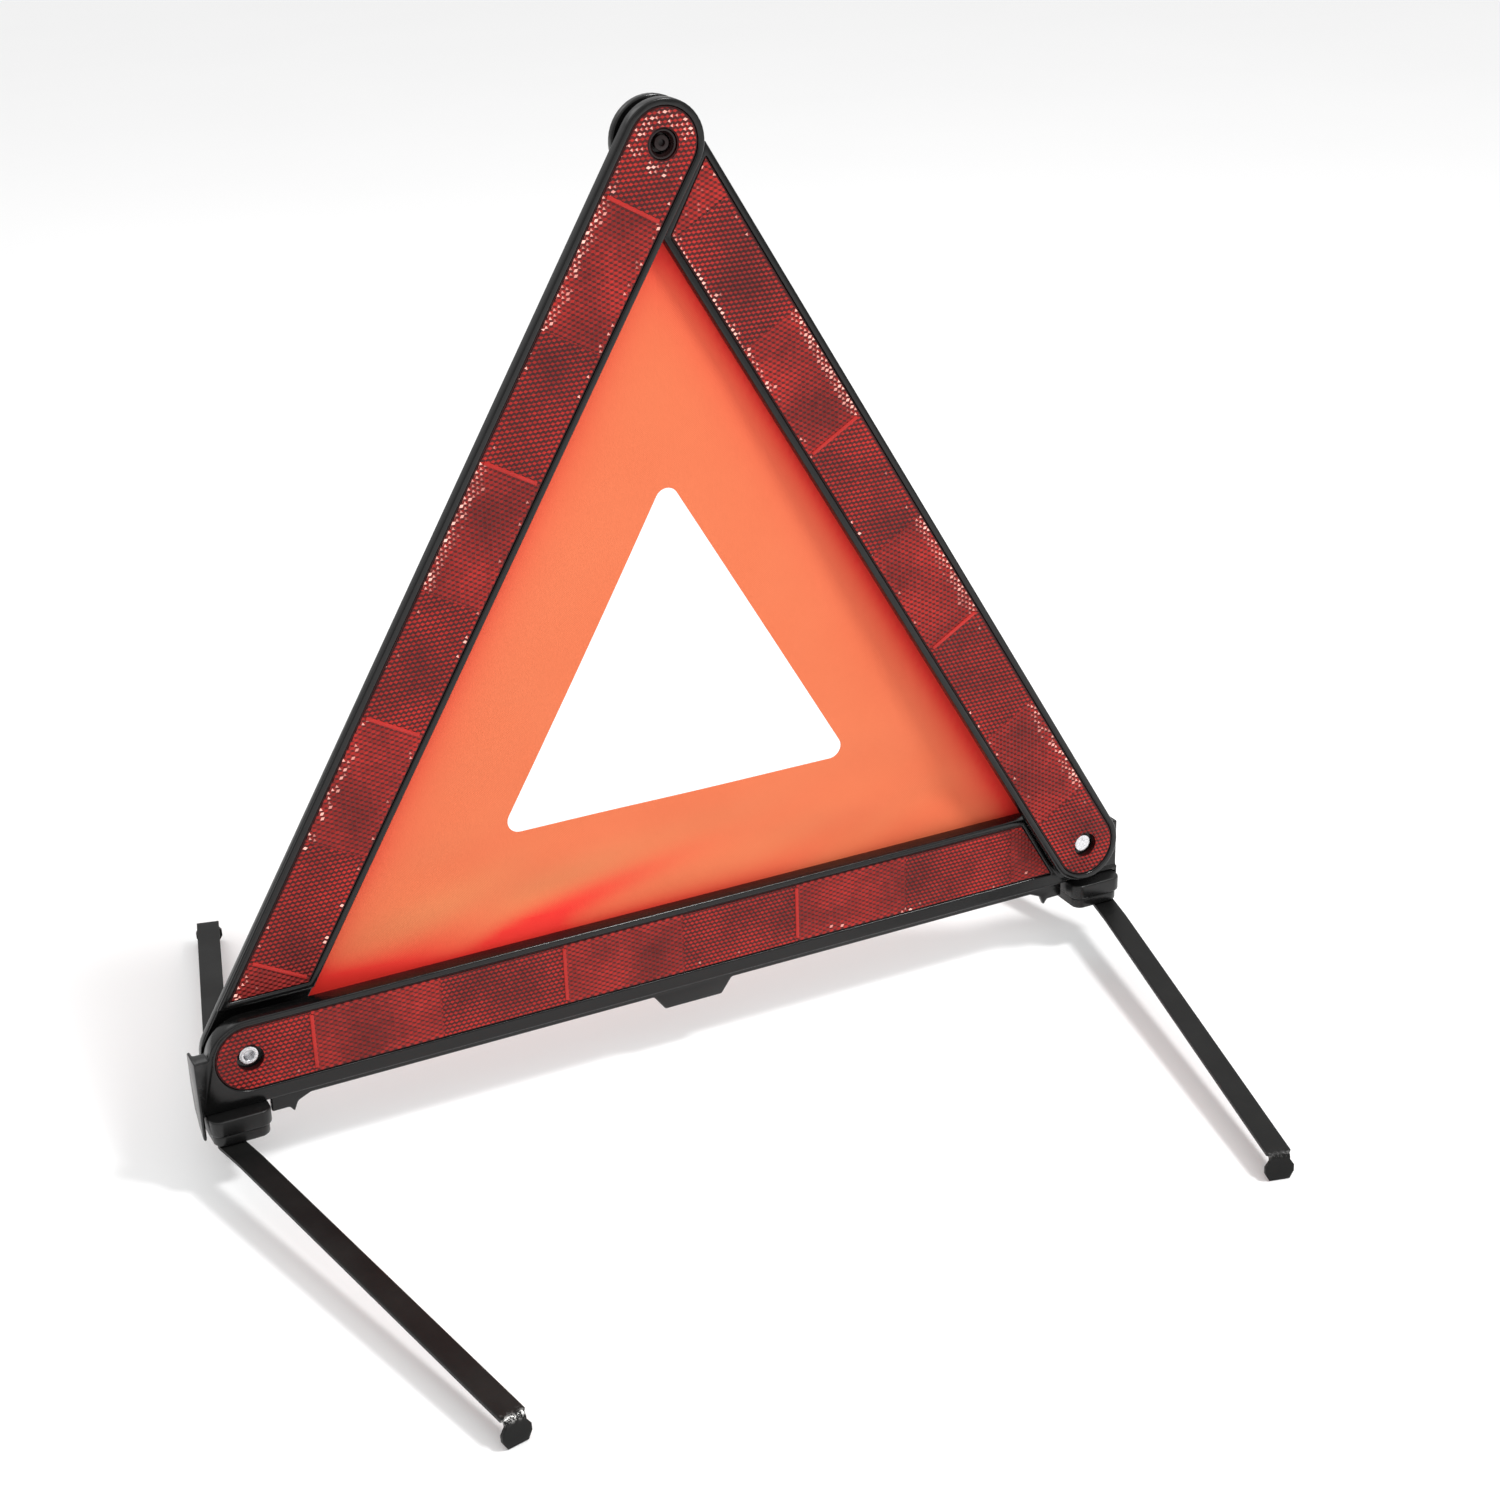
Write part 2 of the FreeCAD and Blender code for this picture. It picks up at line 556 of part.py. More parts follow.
def leg(name):
    """A flat strip: a level round root, a long slope and a foot turned down to the ground."""
    fall = "((leg_reach - foot_turn - leg_flat) * tan(leg_slope * 1 deg))"
    bevel = "leg_thick * tan(22.5 deg)"
    side_view = [
        ("0", "0"), ("leg_flat", "0"),
        ("leg_reach - foot_turn", f"-{fall}"),
        ("leg_reach", f"-{fall} - foot_turn"),
        ("leg_reach", f"-{LEG_HEIGHT}"),
        ("leg_reach - leg_thick", f"-{LEG_HEIGHT}"),
        ("leg_reach - leg_thick", f"-{fall} - foot_turn - {bevel}"),
        (f"leg_reach - foot_turn - {bevel}", f"-{fall} - leg_thick"),
        ("leg_flat", "-leg_thick"), ("0", "-leg_thick"),
    ]
    strip = outline_pad(name + "_strip", list(reversed(side_view)), "leg_width")
    strip.Placement.Rotation = FreeCAD.Rotation(FreeCAD.Vector(1, 0, 0), 90)
    bind(strip, Placement__Base__y="leg_width / 2")
    bend = "(leg_reach - foot_turn)"
    notch = "(leg_width - neck_wide)"
    notches = [box(f"{name}_notch_{i}", "foot_turn + overrun", notch,
                   f"foot_turn + neck_long + overrun", x=bend,
                   y=y, z=f"-{fall} - foot_turn - neck_long")
               for i, y in enumerate((f"-neck_wide / 2 - {notch}", "neck_wide / 2"))]
    low = f"({LEG_HEIGHT})"
    neck_low = f"({fall} + foot_turn + neck_long)"
    plate_view = [
        (neck_low, "-neck_wide / 2"), (f"{neck_low} + foot_flare", "-foot_wide / 2"),
        (f"{low} - foot_flare", "-foot_wide / 2"), (low, "-neck_wide / 2"),
        (low, "neck_wide / 2"), (f"{low} - foot_flare", "foot_wide / 2"),
        (f"{neck_low} + foot_flare", "foot_wide / 2"), (neck_low, "neck_wide / 2"),
    ]
    plate = outline_pad(name + "_plate", plate_view, "leg_thick")
    plate.Placement.Rotation = FreeCAD.Rotation(FreeCAD.Vector(0, 1, 0), 90)
    bind(plate, Placement__Base__x="leg_reach - leg_thick")
    clips = [outline_pad(f"{name}_clip_{i}", [
        (f"{low} + overrun", f"{sign} * (neck_wide / 2)"),
        (low, f"{sign} * (neck_wide / 2)"),
        (f"{low} - foot_flare", f"{sign} * (foot_wide / 2)"),
        (f"{low} + overrun", f"{sign} * (foot_wide / 2)")], "leg_thick + 2 * overrun")
        for i, sign in enumerate((-1, 1))]
    for clip in clips:
        clip.Placement.Rotation = FreeCAD.Rotation(FreeCAD.Vector(0, 1, 0), 90)
        bind(clip, Placement__Base__x="leg_reach - leg_thick - overrun")
    root = cylinder(name + "_root", "leg_width / 2", "leg_thick", z="-leg_thick")
    hole = cylinder(name + "_hole", "pin_round / 2 + pin_clear", "leg_thick + 2 * overrun",
                    z="-leg_thick - overrun")
    return cut(name, join(name + "_blank", strip, root, plate), hole, *notches, *clips)


def leg_pin(name):
    """A pin with its head under the leg, in the frame of the leg."""
    head = cylinder(name + "_head", "pin_head / 2", "pin_head_thick",
                    z="-leg_thick - leg_clear - pin_head_thick")
    shank = cylinder(name + "_shank", "pin_round / 2", "leg_thick + leg_clear + pin_deep",
                     z="-leg_thick - leg_clear")
    return join(name, head, shank)


leg_top = evaluate(LEG_HEIGHT)
for word, side, front, splay in (
        ("front_left", -1, -1, "splay_small"), ("front_right", 1, -1, "splay_large"),
        ("rear_left", -1, 1, "splay_large"), ("rear_right", 1, 1, "splay_small")):
    pin_place = FreeCAD.Vector(side * (half_span + size("leg_out")), front * size("leg_side"),
                               leg_top)
    heading = math.degrees(math.atan2(front * math.cos(math.radians(size(splay))),
                                      -side * math.sin(math.radians(size(splay)))))
    turned = FreeCAD.Placement(pin_place,
                               FreeCAD.Rotation(FreeCAD.Vector(0, 0, 1), heading))
    sub_part(leg(word + "_leg_solid"), word + "_leg", turned)
    sub_part(leg_pin(word + "_pin_solid"), word + "_leg_pin", turned)

# ---------------------------------------------------------------- checks and files
doc.recompute()
for thing in doc.Objects:
    if "Invalid" in thing.State or "Error" in thing.State:
        raise RuntimeError(f"{thing.Name} ({thing.Label}) failed: {thing.State}")
os.makedirs("parts", exist_ok=True)
for made in sub_parts:
    shape = made.Shape
    if shape.isNull() or not shape.isValid() or shape.Volume <= 0:
        raise RuntimeError(f"{made.Label} has no valid shape")
for made in sub_parts:
    made.Shape.exportStep(f"parts/{made.Label}.step")
    bounds = made.Shape.BoundBox
    print(f"{made.Label:22s} solids {len(made.Shape.Solids)} volume {made.Shape.Volume:9.1f} mm3"
          f"  x {bounds.XMin:7.1f}..{bounds.XMax:7.1f}  y {bounds.YMin:7.1f}..{bounds.YMax:7.1f}"
          f"  z {bounds.ZMin:6.1f}..{bounds.ZMax:6.1f}")
print(f"lean of the side arms {math.degrees(lean):.3f} degrees,"
      f" pivots at y {side_offset:.2f} and {apex_offset:.2f} mm")
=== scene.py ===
# %% [markdown]
# # A folding warning triangle
#
# Three black plastic trays hold red reflector lenses, and a fluorescent cloth with a triangular
# window fills the middle. Four flat steel strips swing out from under the base arm. The packed
# frame gives every place and joint; this lesson builds the looks around it, piece by piece.

import json
import math

import bpy
import numpy as np
from mathutils import Matrix, Vector

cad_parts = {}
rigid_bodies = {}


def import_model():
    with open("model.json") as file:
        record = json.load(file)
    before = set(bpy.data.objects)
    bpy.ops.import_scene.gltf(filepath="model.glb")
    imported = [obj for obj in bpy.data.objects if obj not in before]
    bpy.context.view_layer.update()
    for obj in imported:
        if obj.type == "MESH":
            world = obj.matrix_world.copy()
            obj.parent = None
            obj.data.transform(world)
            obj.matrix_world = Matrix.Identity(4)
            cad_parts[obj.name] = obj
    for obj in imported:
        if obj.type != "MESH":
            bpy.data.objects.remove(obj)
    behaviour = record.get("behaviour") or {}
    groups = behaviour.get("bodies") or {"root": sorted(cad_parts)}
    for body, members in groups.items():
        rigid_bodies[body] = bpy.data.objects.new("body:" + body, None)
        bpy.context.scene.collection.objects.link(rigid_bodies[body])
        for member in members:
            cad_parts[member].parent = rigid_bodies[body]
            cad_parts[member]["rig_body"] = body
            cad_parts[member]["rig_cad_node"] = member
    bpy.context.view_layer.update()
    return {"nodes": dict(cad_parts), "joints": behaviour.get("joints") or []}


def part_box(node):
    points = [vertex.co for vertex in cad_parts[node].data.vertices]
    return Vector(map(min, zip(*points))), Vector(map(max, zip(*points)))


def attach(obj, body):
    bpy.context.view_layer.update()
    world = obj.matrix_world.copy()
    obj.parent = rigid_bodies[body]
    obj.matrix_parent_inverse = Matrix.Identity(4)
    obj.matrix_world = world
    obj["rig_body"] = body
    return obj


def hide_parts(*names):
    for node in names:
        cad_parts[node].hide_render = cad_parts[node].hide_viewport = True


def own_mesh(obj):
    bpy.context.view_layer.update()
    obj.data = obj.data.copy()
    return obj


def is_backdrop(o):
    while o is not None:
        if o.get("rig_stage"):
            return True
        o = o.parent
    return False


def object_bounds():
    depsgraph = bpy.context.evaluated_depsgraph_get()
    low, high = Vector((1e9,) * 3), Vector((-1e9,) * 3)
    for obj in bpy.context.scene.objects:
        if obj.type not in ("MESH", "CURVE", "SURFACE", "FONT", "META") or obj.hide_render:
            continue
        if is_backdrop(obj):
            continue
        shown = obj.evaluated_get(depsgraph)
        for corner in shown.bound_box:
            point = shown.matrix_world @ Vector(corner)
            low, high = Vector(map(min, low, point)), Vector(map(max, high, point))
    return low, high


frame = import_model()
MM = 0.001
nodes = frame["nodes"]
joints = {joint["name"]: joint for joint in frame["joints"]}

# %% [markdown]
# ## Camera, light and floor
#
# The camera stands a little to the left and above, close enough for some perspective. Its place is
# worked out from two angles and a distance, so each can be tried by itself.

# %% Camera
AZIMUTH = math.radians(-26.22)
ELEVATION = math.radians(24.23)
ROLL = math.radians(-1.75)
back = Vector((math.sin(AZIMUTH) * math.cos(ELEVATION),
               -math.cos(AZIMUTH) * math.cos(ELEVATION), math.sin(ELEVATION)))
level_right = Vector((math.cos(AZIMUTH), math.sin(AZIMUTH), 0))
level_up = back.cross(level_right)
right = level_right * math.cos(ROLL) + level_up * math.sin(ROLL)
up = level_up * math.cos(ROLL) - level_right * math.sin(ROLL)
LOOK_AT = Vector((0, -0.0035, 0.207))
DISTANCE = 1.1074           # from there back to the camera
RIGHTWARD = 0.0301          # how far the camera is moved across its view
DOWNWARD = 0.0463
FOCAL_LENGTH = 60.9         # for a sensor 36 mm wide
stand = LOOK_AT + back * DISTANCE + right * RIGHTWARD - up * DOWNWARD

bpy.ops.object.camera_add(location=stand)
camera = bpy.context.object
camera.name = "camera"
camera.matrix_world = Matrix.Translation(stand) @ Matrix((right, up, back)).transposed().to_4x4()
camera.data.lens = FOCAL_LENGTH
camera.data.sensor_width = 36
bpy.context.scene.camera = camera
bpy.context.scene.view_settings.view_transform = "Standard"
print("camera stands", round(stand.length, 3), "m from the origin")

# %% [markdown]
# Black plastic shows mostly what it mirrors. One small strong light from the right draws thin
# highlights along the rounded edges, two weak broad ones soften the front and the back, and a pale
# world fills the rest. The world is brightest straight above, but the camera sees it plain white.
# The floor is one plain sheet.


# %% Lights and floor
def soft_light(name, place, aim, size, power):
    """A square area light at a place, turned to its aim."""
    bpy.ops.object.light_add(type="AREA", location=place)
    light = bpy.context.object
    light.name = name
    light.data.shape = "SQUARE"
    light.data.size = size
    light.data.energy = power
    light.rotation_euler = (Vector(aim) - Vector(place)).to_track_quat("-Z", "Y").to_euler()
    return light


middle = (0, 0, 0.2)
soft_light("key", (-0.9, -1.3, 1.9), middle, size=0.7, power=2)
soft_light("edge", (0.8, -0.85, 1.85), middle, size=0.35, power=24)
soft_light("back", (-0.5, 1.3, 1.6), middle, size=0.9, power=3)

WORLD_BELOW = 0.5           # strength of the world from the horizon down
WORLD_ABOVE = 1.1           # and straight up
world = bpy.context.scene.world or bpy.data.worlds.new("world")
bpy.context.scene.world = world
world.use_nodes = True
sky = world.node_tree
direction = sky.nodes.new("ShaderNodeTexCoord").outputs["Generated"]
height = sky.nodes.new("ShaderNodeSeparateXYZ")
sky.links.new(direction, height.inputs[0])
strength = sky.nodes.new("ShaderNodeMapRange")
strength.inputs["To Min"].default_value = WORLD_BELOW
strength.inputs["To Max"].default_value = WORLD_ABOVE
sky.links.new(height.outputs["Z"], strength.inputs["Value"])

seen = sky.nodes.new("ShaderNodeMath")
seen.operation = "MAXIMUM"
sky.links.new(strength.outputs["Result"], seen.inputs[0])
sky.links.new(sky.nodes.new("ShaderNodeLightPath").outputs["Is Camera Ray"], seen.inputs[1])
sky.links.new(seen.outputs[0], sky.nodes["Background"].inputs["Strength"])
sky.nodes["Background"].inputs["Color"].default_value = (1, 1, 1, 1)

bpy.ops.mesh.primitive_plane_add(size=14, location=(0, 0, 0))
floor = bpy.context.object
floor.name = "floor"
floor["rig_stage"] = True
print("three lights, a pale world and a floor")

# %% [markdown]
# ## Shared effects
#
# Moulded plastic, painted steel, lenses and cloth share a few effects: a fine grain in the
# surface, paler worn edges, a little dust that lies on faces that look up, and a weave. Each is
# a node group that puts out only a value or a height, and every material sets its own amounts.


# %% Node helpers
def group(name, inputs, outputs):
    """An empty shader node group with float inputs {name: default} and named float outputs."""
    tree = bpy.data.node_groups.new(name, "ShaderNodeTree")
    for label, value in inputs.items():
        socket = tree.interface.new_socket(label, in_out="INPUT", socket_type="NodeSocketFloat")
        socket.default_value = value
    for label in outputs:
        tree.interface.new_socket(label, in_out="OUTPUT", socket_type="NodeSocketFloat")
    return tree


def node(tree, kind, settings=(), **values):
    """A node whose sockets are set or linked: _ in a name is a space, and i0 is the first socket."""
    made = tree.nodes.new(kind)
    for key, value in dict(settings).items():
        setattr(made, key, value)
    for key, value in values.items():
        socket = made.inputs[int(key[1:])] if key[0] == "i" and key[1:].isdigit() else (
            made.inputs[key.replace("_", " ")])
        if isinstance(value, bpy.types.NodeSocket):
            tree.links.new(value, socket)
        else:
            socket.default_value = value
    return made


def maths(tree, operation, first, second=0.5, third=0.5, clamp=False):
    """The output of one Math node."""
    made = node(tree, "ShaderNodeMath", {"operation": operation, "use_clamp": clamp},
                i0=first, i1=second, i2=third)
    return made.outputs[0]


def noise(tree, where, scale, detail=4.0, rough=0.55):
    """The value of a noise texture."""
    return node(tree, "ShaderNodeTexNoise", Vector=where, Scale=scale, Detail=detail,
                Roughness=rough).outputs["Fac"]


def object_place(tree):
    """Object coordinates, which are the row's own metres because every piece sits at the origin."""
    return node(tree, "ShaderNodeTexCoord").outputs["Object"]


def ramp(tree, value, low, high):
    """A value spread from low..high to 0..1, with soft ends."""
    made = node(tree, "ShaderNodeMapRange", {"interpolation_type": "SMOOTHSTEP"},
                Value=value, From_Min=low, From_Max=high)
    return made.outputs["Result"]


# %% Grain
grain = group("moulded_grain", {"Scale": 2500.0, "Amount": 1.0}, ["Height", "Mottle"])
enter = grain.nodes.new("NodeGroupInput")
leave = grain.nodes.new("NodeGroupOutput")
place = object_place(grain)
fine = noise(grain, place, enter.outputs["Scale"], detail=3.0, rough=0.6)
broad = noise(grain, place, 34.0, detail=5.0, rough=0.6)
grain.links.new(maths(grain, "MULTIPLY", fine, enter.outputs["Amount"]), leave.inputs["Height"])
grain.links.new(ramp(grain, broad, 0.32, 0.7), leave.inputs["Mottle"])
print("group", grain.name)

# %% [markdown]
# Handling pales an edge first. Pointiness is high where the mesh turns outwards, so it finds the
# edges, and a noise breaks the pale line up.

# %% Worn edges
FULLY_WORN = 0.62           # the pointiness at which wear is complete
wear = group("edge_wear", {"Sharpness": 0.5, "Breakup": 160.0, "Amount": 1.0}, ["Mask"])
enter = wear.nodes.new("NodeGroupInput")
leave = wear.nodes.new("NodeGroupOutput")
pointed = node(wear, "ShaderNodeNewGeometry").outputs["Pointiness"]
crest = node(wear, "ShaderNodeMapRange", {"interpolation_type": "SMOOTHSTEP"}, Value=pointed,
             From_Min=enter.outputs["Sharpness"], From_Max=FULLY_WORN).outputs["Result"]
speckle = noise(wear, object_place(wear), enter.outputs["Breakup"], detail=5.0, rough=0.7)
patchy = ramp(wear, speckle, 0.4, 0.65)
mask = maths(wear, "MULTIPLY", maths(wear, "MULTIPLY", crest, patchy), enter.outputs["Amount"],
             clamp=True)
wear.links.new(mask, leave.inputs["Mask"])
print("group", wear.name)

# %% [markdown]
# Dust settles on what looks up, so the height of the surface normal says where it may lie.

# %% Dust
dust = group("settled_dust", {"Amount": 0.3, "Scale": 60.0}, ["Mask"])
enter = dust.nodes.new("NodeGroupInput")
leave = dust.nodes.new("NodeGroupOutput")
normal = node(dust, "ShaderNodeNewGeometry").outputs["Normal"]
upward = node(dust, "ShaderNodeSeparateXYZ", Vector=normal).outputs["Z"]
cloud = noise(dust, object_place(dust), enter.outputs["Scale"], detail=6.0, rough=0.65)
settled = maths(dust, "MULTIPLY", ramp(dust, upward, 0.2, 1.0), ramp(dust, cloud, 0.35, 0.75))
dust.links.new(maths(dust, "MULTIPLY", settled, enter.outputs["Amount"]), leave.inputs["Mask"])
print("group", dust.name)

# %% [markdown]
# A plain weave goes over and under in both directions. Two crossed sine waves, multiplied, give
# its small bumps in the cloth's own plane.

# %% Weave
weave = group("plain_weave", {"Threads": 2200.0, "Depth": 1.0}, ["Height"])
enter = weave.nodes.new("NodeGroupInput")
leave = weave.nodes.new("NodeGroupOutput")
split = node(weave, "ShaderNodeSeparateXYZ", Vector=object_place(weave))
warp = maths(weave, "SINE", maths(weave, "MULTIPLY", split.outputs["X"], enter.outputs["Threads"]))
weft = maths(weave, "SINE", maths(weave, "MULTIPLY", split.outputs["Z"], enter.outputs["Threads"]))
crossing = maths(weave, "MULTIPLY", warp, weft)
weave.links.new(maths(weave, "MULTIPLY", crossing, enter.outputs["Depth"]), leave.inputs["Height"])
print("group", weave.name)


# %% [markdown]
# ## Materials
#
# Each finish is one Principled shader. What is the same all over is set on the shader itself;
# only colours, roughness and heights that change over the surface are linked to it.


# %% Material helpers
def material(name, **fixed):
    """A material with a Principled shader whose named sockets are set to fixed values."""
    made = bpy.data.materials.new(name)
    made.use_nodes = True
    shader = made.node_tree.nodes["Principled BSDF"]
    for key, value in fixed.items():
        shader.inputs[key.replace("_", " ")].default_value = value
    return made, made.node_tree, shader


def use_group(tree, which, **values):
    """One of the shared effects inside a material."""
    made = tree.nodes.new("ShaderNodeGroup")
    made.node_tree = which
    for key, value in values.items():
        made.inputs[key].default_value = value
    return made


def mix(tree, factor, first, second):
    """A colour mixed from two colours, each a socket or a plain colour."""
    made = node(tree, "ShaderNodeMix", {"data_type": "RGBA"})
    for index, value in ((0, factor), (6, first), (7, second)):
        if isinstance(value, bpy.types.NodeSocket):
            tree.links.new(value, made.inputs[index])
        else:
            made.inputs[index].default_value = (*value, 1) if isinstance(value, tuple) else value
    return made.outputs[2]


def bump(tree, shader, height, distance, strength=1.0):
    """A height put into the shader's normal."""
    made = node(tree, "ShaderNodeBump", Strength=strength, Distance=distance, Height=height)
    tree.links.new(made.outputs["Normal"], shader.inputs["Normal"])


def dress(piece, finish):
    """Gives a piece one material all over."""
    piece.data.materials.clear()
    piece.data.materials.append(finish)
    for face in piece.data.polygons:
        face.material_index = 0


# %% [markdown]
# The trays are glossy moulded plastic, and the brackets that take the legs are a little duller.
# The catch at the top and the cloth's pegs have a trace of red in their black. One function makes
# all three plastics, so that they wear and gather dust alike.


# %% Black moulded plastic
PLASTIC_DUST = (0.09, 0.088, 0.082)


def black_moulded(name, colour, pale, roughness, dusty):
    """Black plastic with a fine moulded grain, paler edges and a trace of dust."""
    made, tree, shader = material(name, Specular_IOR_Level=0.38)
    surface = use_group(tree, grain, Scale=2600.0, Amount=1.0)
    edges = use_group(tree, wear, Sharpness=0.515, Breakup=220.0, Amount=0.5)
    powder = use_group(tree, dust, Amount=dusty, Scale=55.0)
    body = mix(tree, surface.outputs["Mottle"], colour, tuple(0.7 * c for c in colour))
    worn = mix(tree, edges.outputs["Mask"], body, pale)
    tree.links.new(mix(tree, powder.outputs["Mask"], worn, PLASTIC_DUST),
                   shader.inputs["Base Color"])
    uneven = node(tree, "ShaderNodeMapRange", Value=surface.outputs["Mottle"],
                  To_Min=roughness - 0.06, To_Max=roughness + 0.08)
    tree.links.new(uneven.outputs["Result"], shader.inputs["Roughness"])
    bump(tree, shader, surface.outputs["Height"], 0.00004, 0.5)
    return made


tray_plastic = black_moulded("tray_plastic", (0.003, 0.003, 0.003), (0.03, 0.03, 0.03),
                             roughness=0.18, dusty=0.02)
bracket_plastic = black_moulded("bracket_plastic", (0.005, 0.005, 0.005), (0.03, 0.03, 0.03),
                                roughness=0.3, dusty=0.04)
catch_plastic = black_moulded("catch_plastic", (0.012, 0.004, 0.004), (0.03, 0.02, 0.02),
                              roughness=0.3, dusty=0.0)
print("black plastics ready")

# %% [markdown]
# A reflector lens is clear red plastic with small prisms moulded into it. Each prism sends light
# back in its own direction, so neighbouring panels differ in brightness and a few cells flash
# almost white. The prisms themselves are real facets, but that brightness is painted: the material
# reads which panel a facet is in, and how strongly its cell flashes, from attributes on the mesh,
# and paints shade, light and pale highlights into the colour, with a little emission on the flashes.


# %% Red lens
# Painted highlight: flashing cells are painted this pale pink and glow a little with the emission
# colour.
PAINTED_FLASH_COLOUR = (0.95, 0.5, 0.42)
PAINTED_FLASH_GLOW = (0.9, 0.42, 0.35)
# Painted light: the ribs' paler red stands for the light that they catch.
RIB_PAINTED_LIGHT_RED = (0.5, 0.025, 0.02)


def red_lens(name, dark, light, rough):
    """Red lens plastic; the attributes tone and glint say how pale each facet is, as painted shade,
    light and highlight.
    """
    made, tree, shader = material(name, Specular_IOR_Level=0.22)
    tone = node(tree, "ShaderNodeAttribute", {"attribute_name": "tone"}).outputs["Fac"]
    glint = node(tree, "ShaderNodeAttribute", {"attribute_name": "glint"}).outputs["Fac"]
    surface = use_group(tree, grain, Scale=900.0, Amount=1.0)
    base = mix(tree, tone, dark, light)
    cloudy = mix(tree, maths(tree, "MULTIPLY", surface.outputs["Mottle"], 0.35), base,
                 tuple(0.45 * c for c in dark))
    # Painted highlight: where glint is set, the colour turns pale and the emission glows.
    tree.links.new(mix(tree, glint, cloudy, PAINTED_FLASH_COLOUR), shader.inputs["Base Color"])
    tree.links.new(mix(tree, glint, (0.0, 0.0, 0.0), PAINTED_FLASH_GLOW), shader.inputs["Emission Color"])
    shader.inputs["Emission Strength"].default_value = 0.6
    uneven = node(tree, "ShaderNodeMapRange", Value=surface.outputs["Mottle"],
                  To_Min=rough, To_Max=rough + 0.12)
    tree.links.new(uneven.outputs["Result"], shader.inputs["Roughness"])
    bump(tree, shader, surface.outputs["Height"], 0.00003, 0.3)
    return made


# dark and light are one red plastic painted shaded and lit: painted shade and painted light for the
# facets.
lens_red = red_lens("lens_red", (0.038, 0.006, 0.006), (0.52, 0.028, 0.022), rough=0.3)
rib_red = red_lens("rib_red", RIB_PAINTED_LIGHT_RED, RIB_PAINTED_LIGHT_RED, rough=0.3)
print("lens plastics ready")

# %% [markdown]
# The cloth is a thin coated weave in a fluorescent orange-red. A little emission, a painted glow,
# stands in for its fluorescence. Shade is painted into its colour: it is palest where it is open to
# the light and redder towards the arms, which an attribute called edge carries over the cloth.

# %% Fluorescent cloth
OPEN_ORANGE = (0.7, 0.19, 0.07)
PALE_ORANGE = (0.72, 0.21, 0.082)
PAINTED_SHADE_RED = (0.8, 0.028, 0.018)
# Painted glow: a little emission in the cloth's own colour stands in for fluorescence.
cloth_orange, tree, shader = material("cloth_orange", Roughness=0.62, Specular_IOR_Level=0.3,
                                      Sheen_Weight=0.15, Sheen_Roughness=0.4,
                                      Emission_Strength=0.07)
edge = node(tree, "ShaderNodeAttribute", {"attribute_name": "edge"}).outputs["Fac"]
clouding = ramp(tree, noise(tree, object_place(tree), 9.0, detail=3.0, rough=0.5), 0.3, 0.7)
open_colour = mix(tree, clouding, OPEN_ORANGE, PALE_ORANGE)
# Painted shade: the edge attribute reddens the cloth towards the arms and along its folds.
glow = mix(tree, edge, open_colour, PAINTED_SHADE_RED)
tree.links.new(glow, shader.inputs["Base Color"])
tree.links.new(glow, shader.inputs["Emission Color"])
threads = use_group(tree, weave, Threads=7000.0, Depth=1.0)
creases = noise(tree, object_place(tree), 26.0, detail=3.0, rough=0.55)
height = maths(tree, "ADD", maths(tree, "MULTIPLY", threads.outputs["Height"], 0.12), creases)
bump(tree, shader, height, 0.0005, 0.5)
print("cloth ready")


# %% [markdown]
# The metal pieces: bright zinc on the rivets, and black paint on the strip legs that has rubbed
# through to bare steel at the bend above each foot. The attribute rub says where.


# %% Metals
def bright_metal(name, colour, rough):
    """Plated steel with fine scuffs."""
    made, tree, shader = material(name, Metallic=1.0)
    scuffs = noise(tree, object_place(tree), 900.0, detail=6.0, rough=0.7)
    tree.links.new(mix(tree, ramp(tree, scuffs, 0.3, 0.75), colour,
                       tuple(0.55 * c for c in colour)), shader.inputs["Base Color"])
    tree.links.new(maths(tree, "MULTIPLY_ADD", scuffs, 0.35, rough), shader.inputs["Roughness"])
    bump(tree, shader, scuffs, 0.00003, 0.4)
    return made


rivet_metal = bright_metal("rivet_metal", (0.82, 0.82, 0.84), rough=0.08)
washer_metal = bright_metal("washer_metal", (0.55, 0.54, 0.52), rough=0.22)
print("bright metals ready")

# %% Leg paint
BLACK_PAINT = (0.006, 0.006, 0.006)
GREYER_PAINT = (0.01, 0.01, 0.0095)
PAINT_DUST = (0.07, 0.069, 0.065)
BARE_STEEL = (0.72, 0.71, 0.69)
leg_paint, tree, shader = material("leg_paint", Specular_IOR_Level=0.15)
surface = use_group(tree, grain, Scale=1300.0, Amount=1.0)
edges = use_group(tree, wear, Sharpness=0.52, Breakup=300.0, Amount=0.7)
powder = use_group(tree, dust, Amount=0.06, Scale=40.0)
rub = node(tree, "ShaderNodeAttribute", {"attribute_name": "rub"}).outputs["Fac"]
flakes = ramp(tree, noise(tree, object_place(tree), 800.0, detail=6.0, rough=0.75), 0.5, 0.56)
scratched = maths(tree, "MULTIPLY", rub, flakes)
bare = maths(tree, "MAXIMUM", scratched, maths(tree, "MULTIPLY", edges.outputs["Mask"], 0.25))
paint = mix(tree, surface.outputs["Mottle"], BLACK_PAINT, GREYER_PAINT)
dusted = mix(tree, powder.outputs["Mask"], paint, PAINT_DUST)
tree.links.new(mix(tree, bare, dusted, BARE_STEEL), shader.inputs["Base Color"])
tree.links.new(scratched, shader.inputs["Metallic"])
tree.links.new(maths(tree, "MULTIPLY_ADD", surface.outputs["Mottle"], 0.12, 0.36),
               shader.inputs["Roughness"])
bump(tree, shader, surface.outputs["Height"], 0.00006, 0.5)
print("leg paint ready")

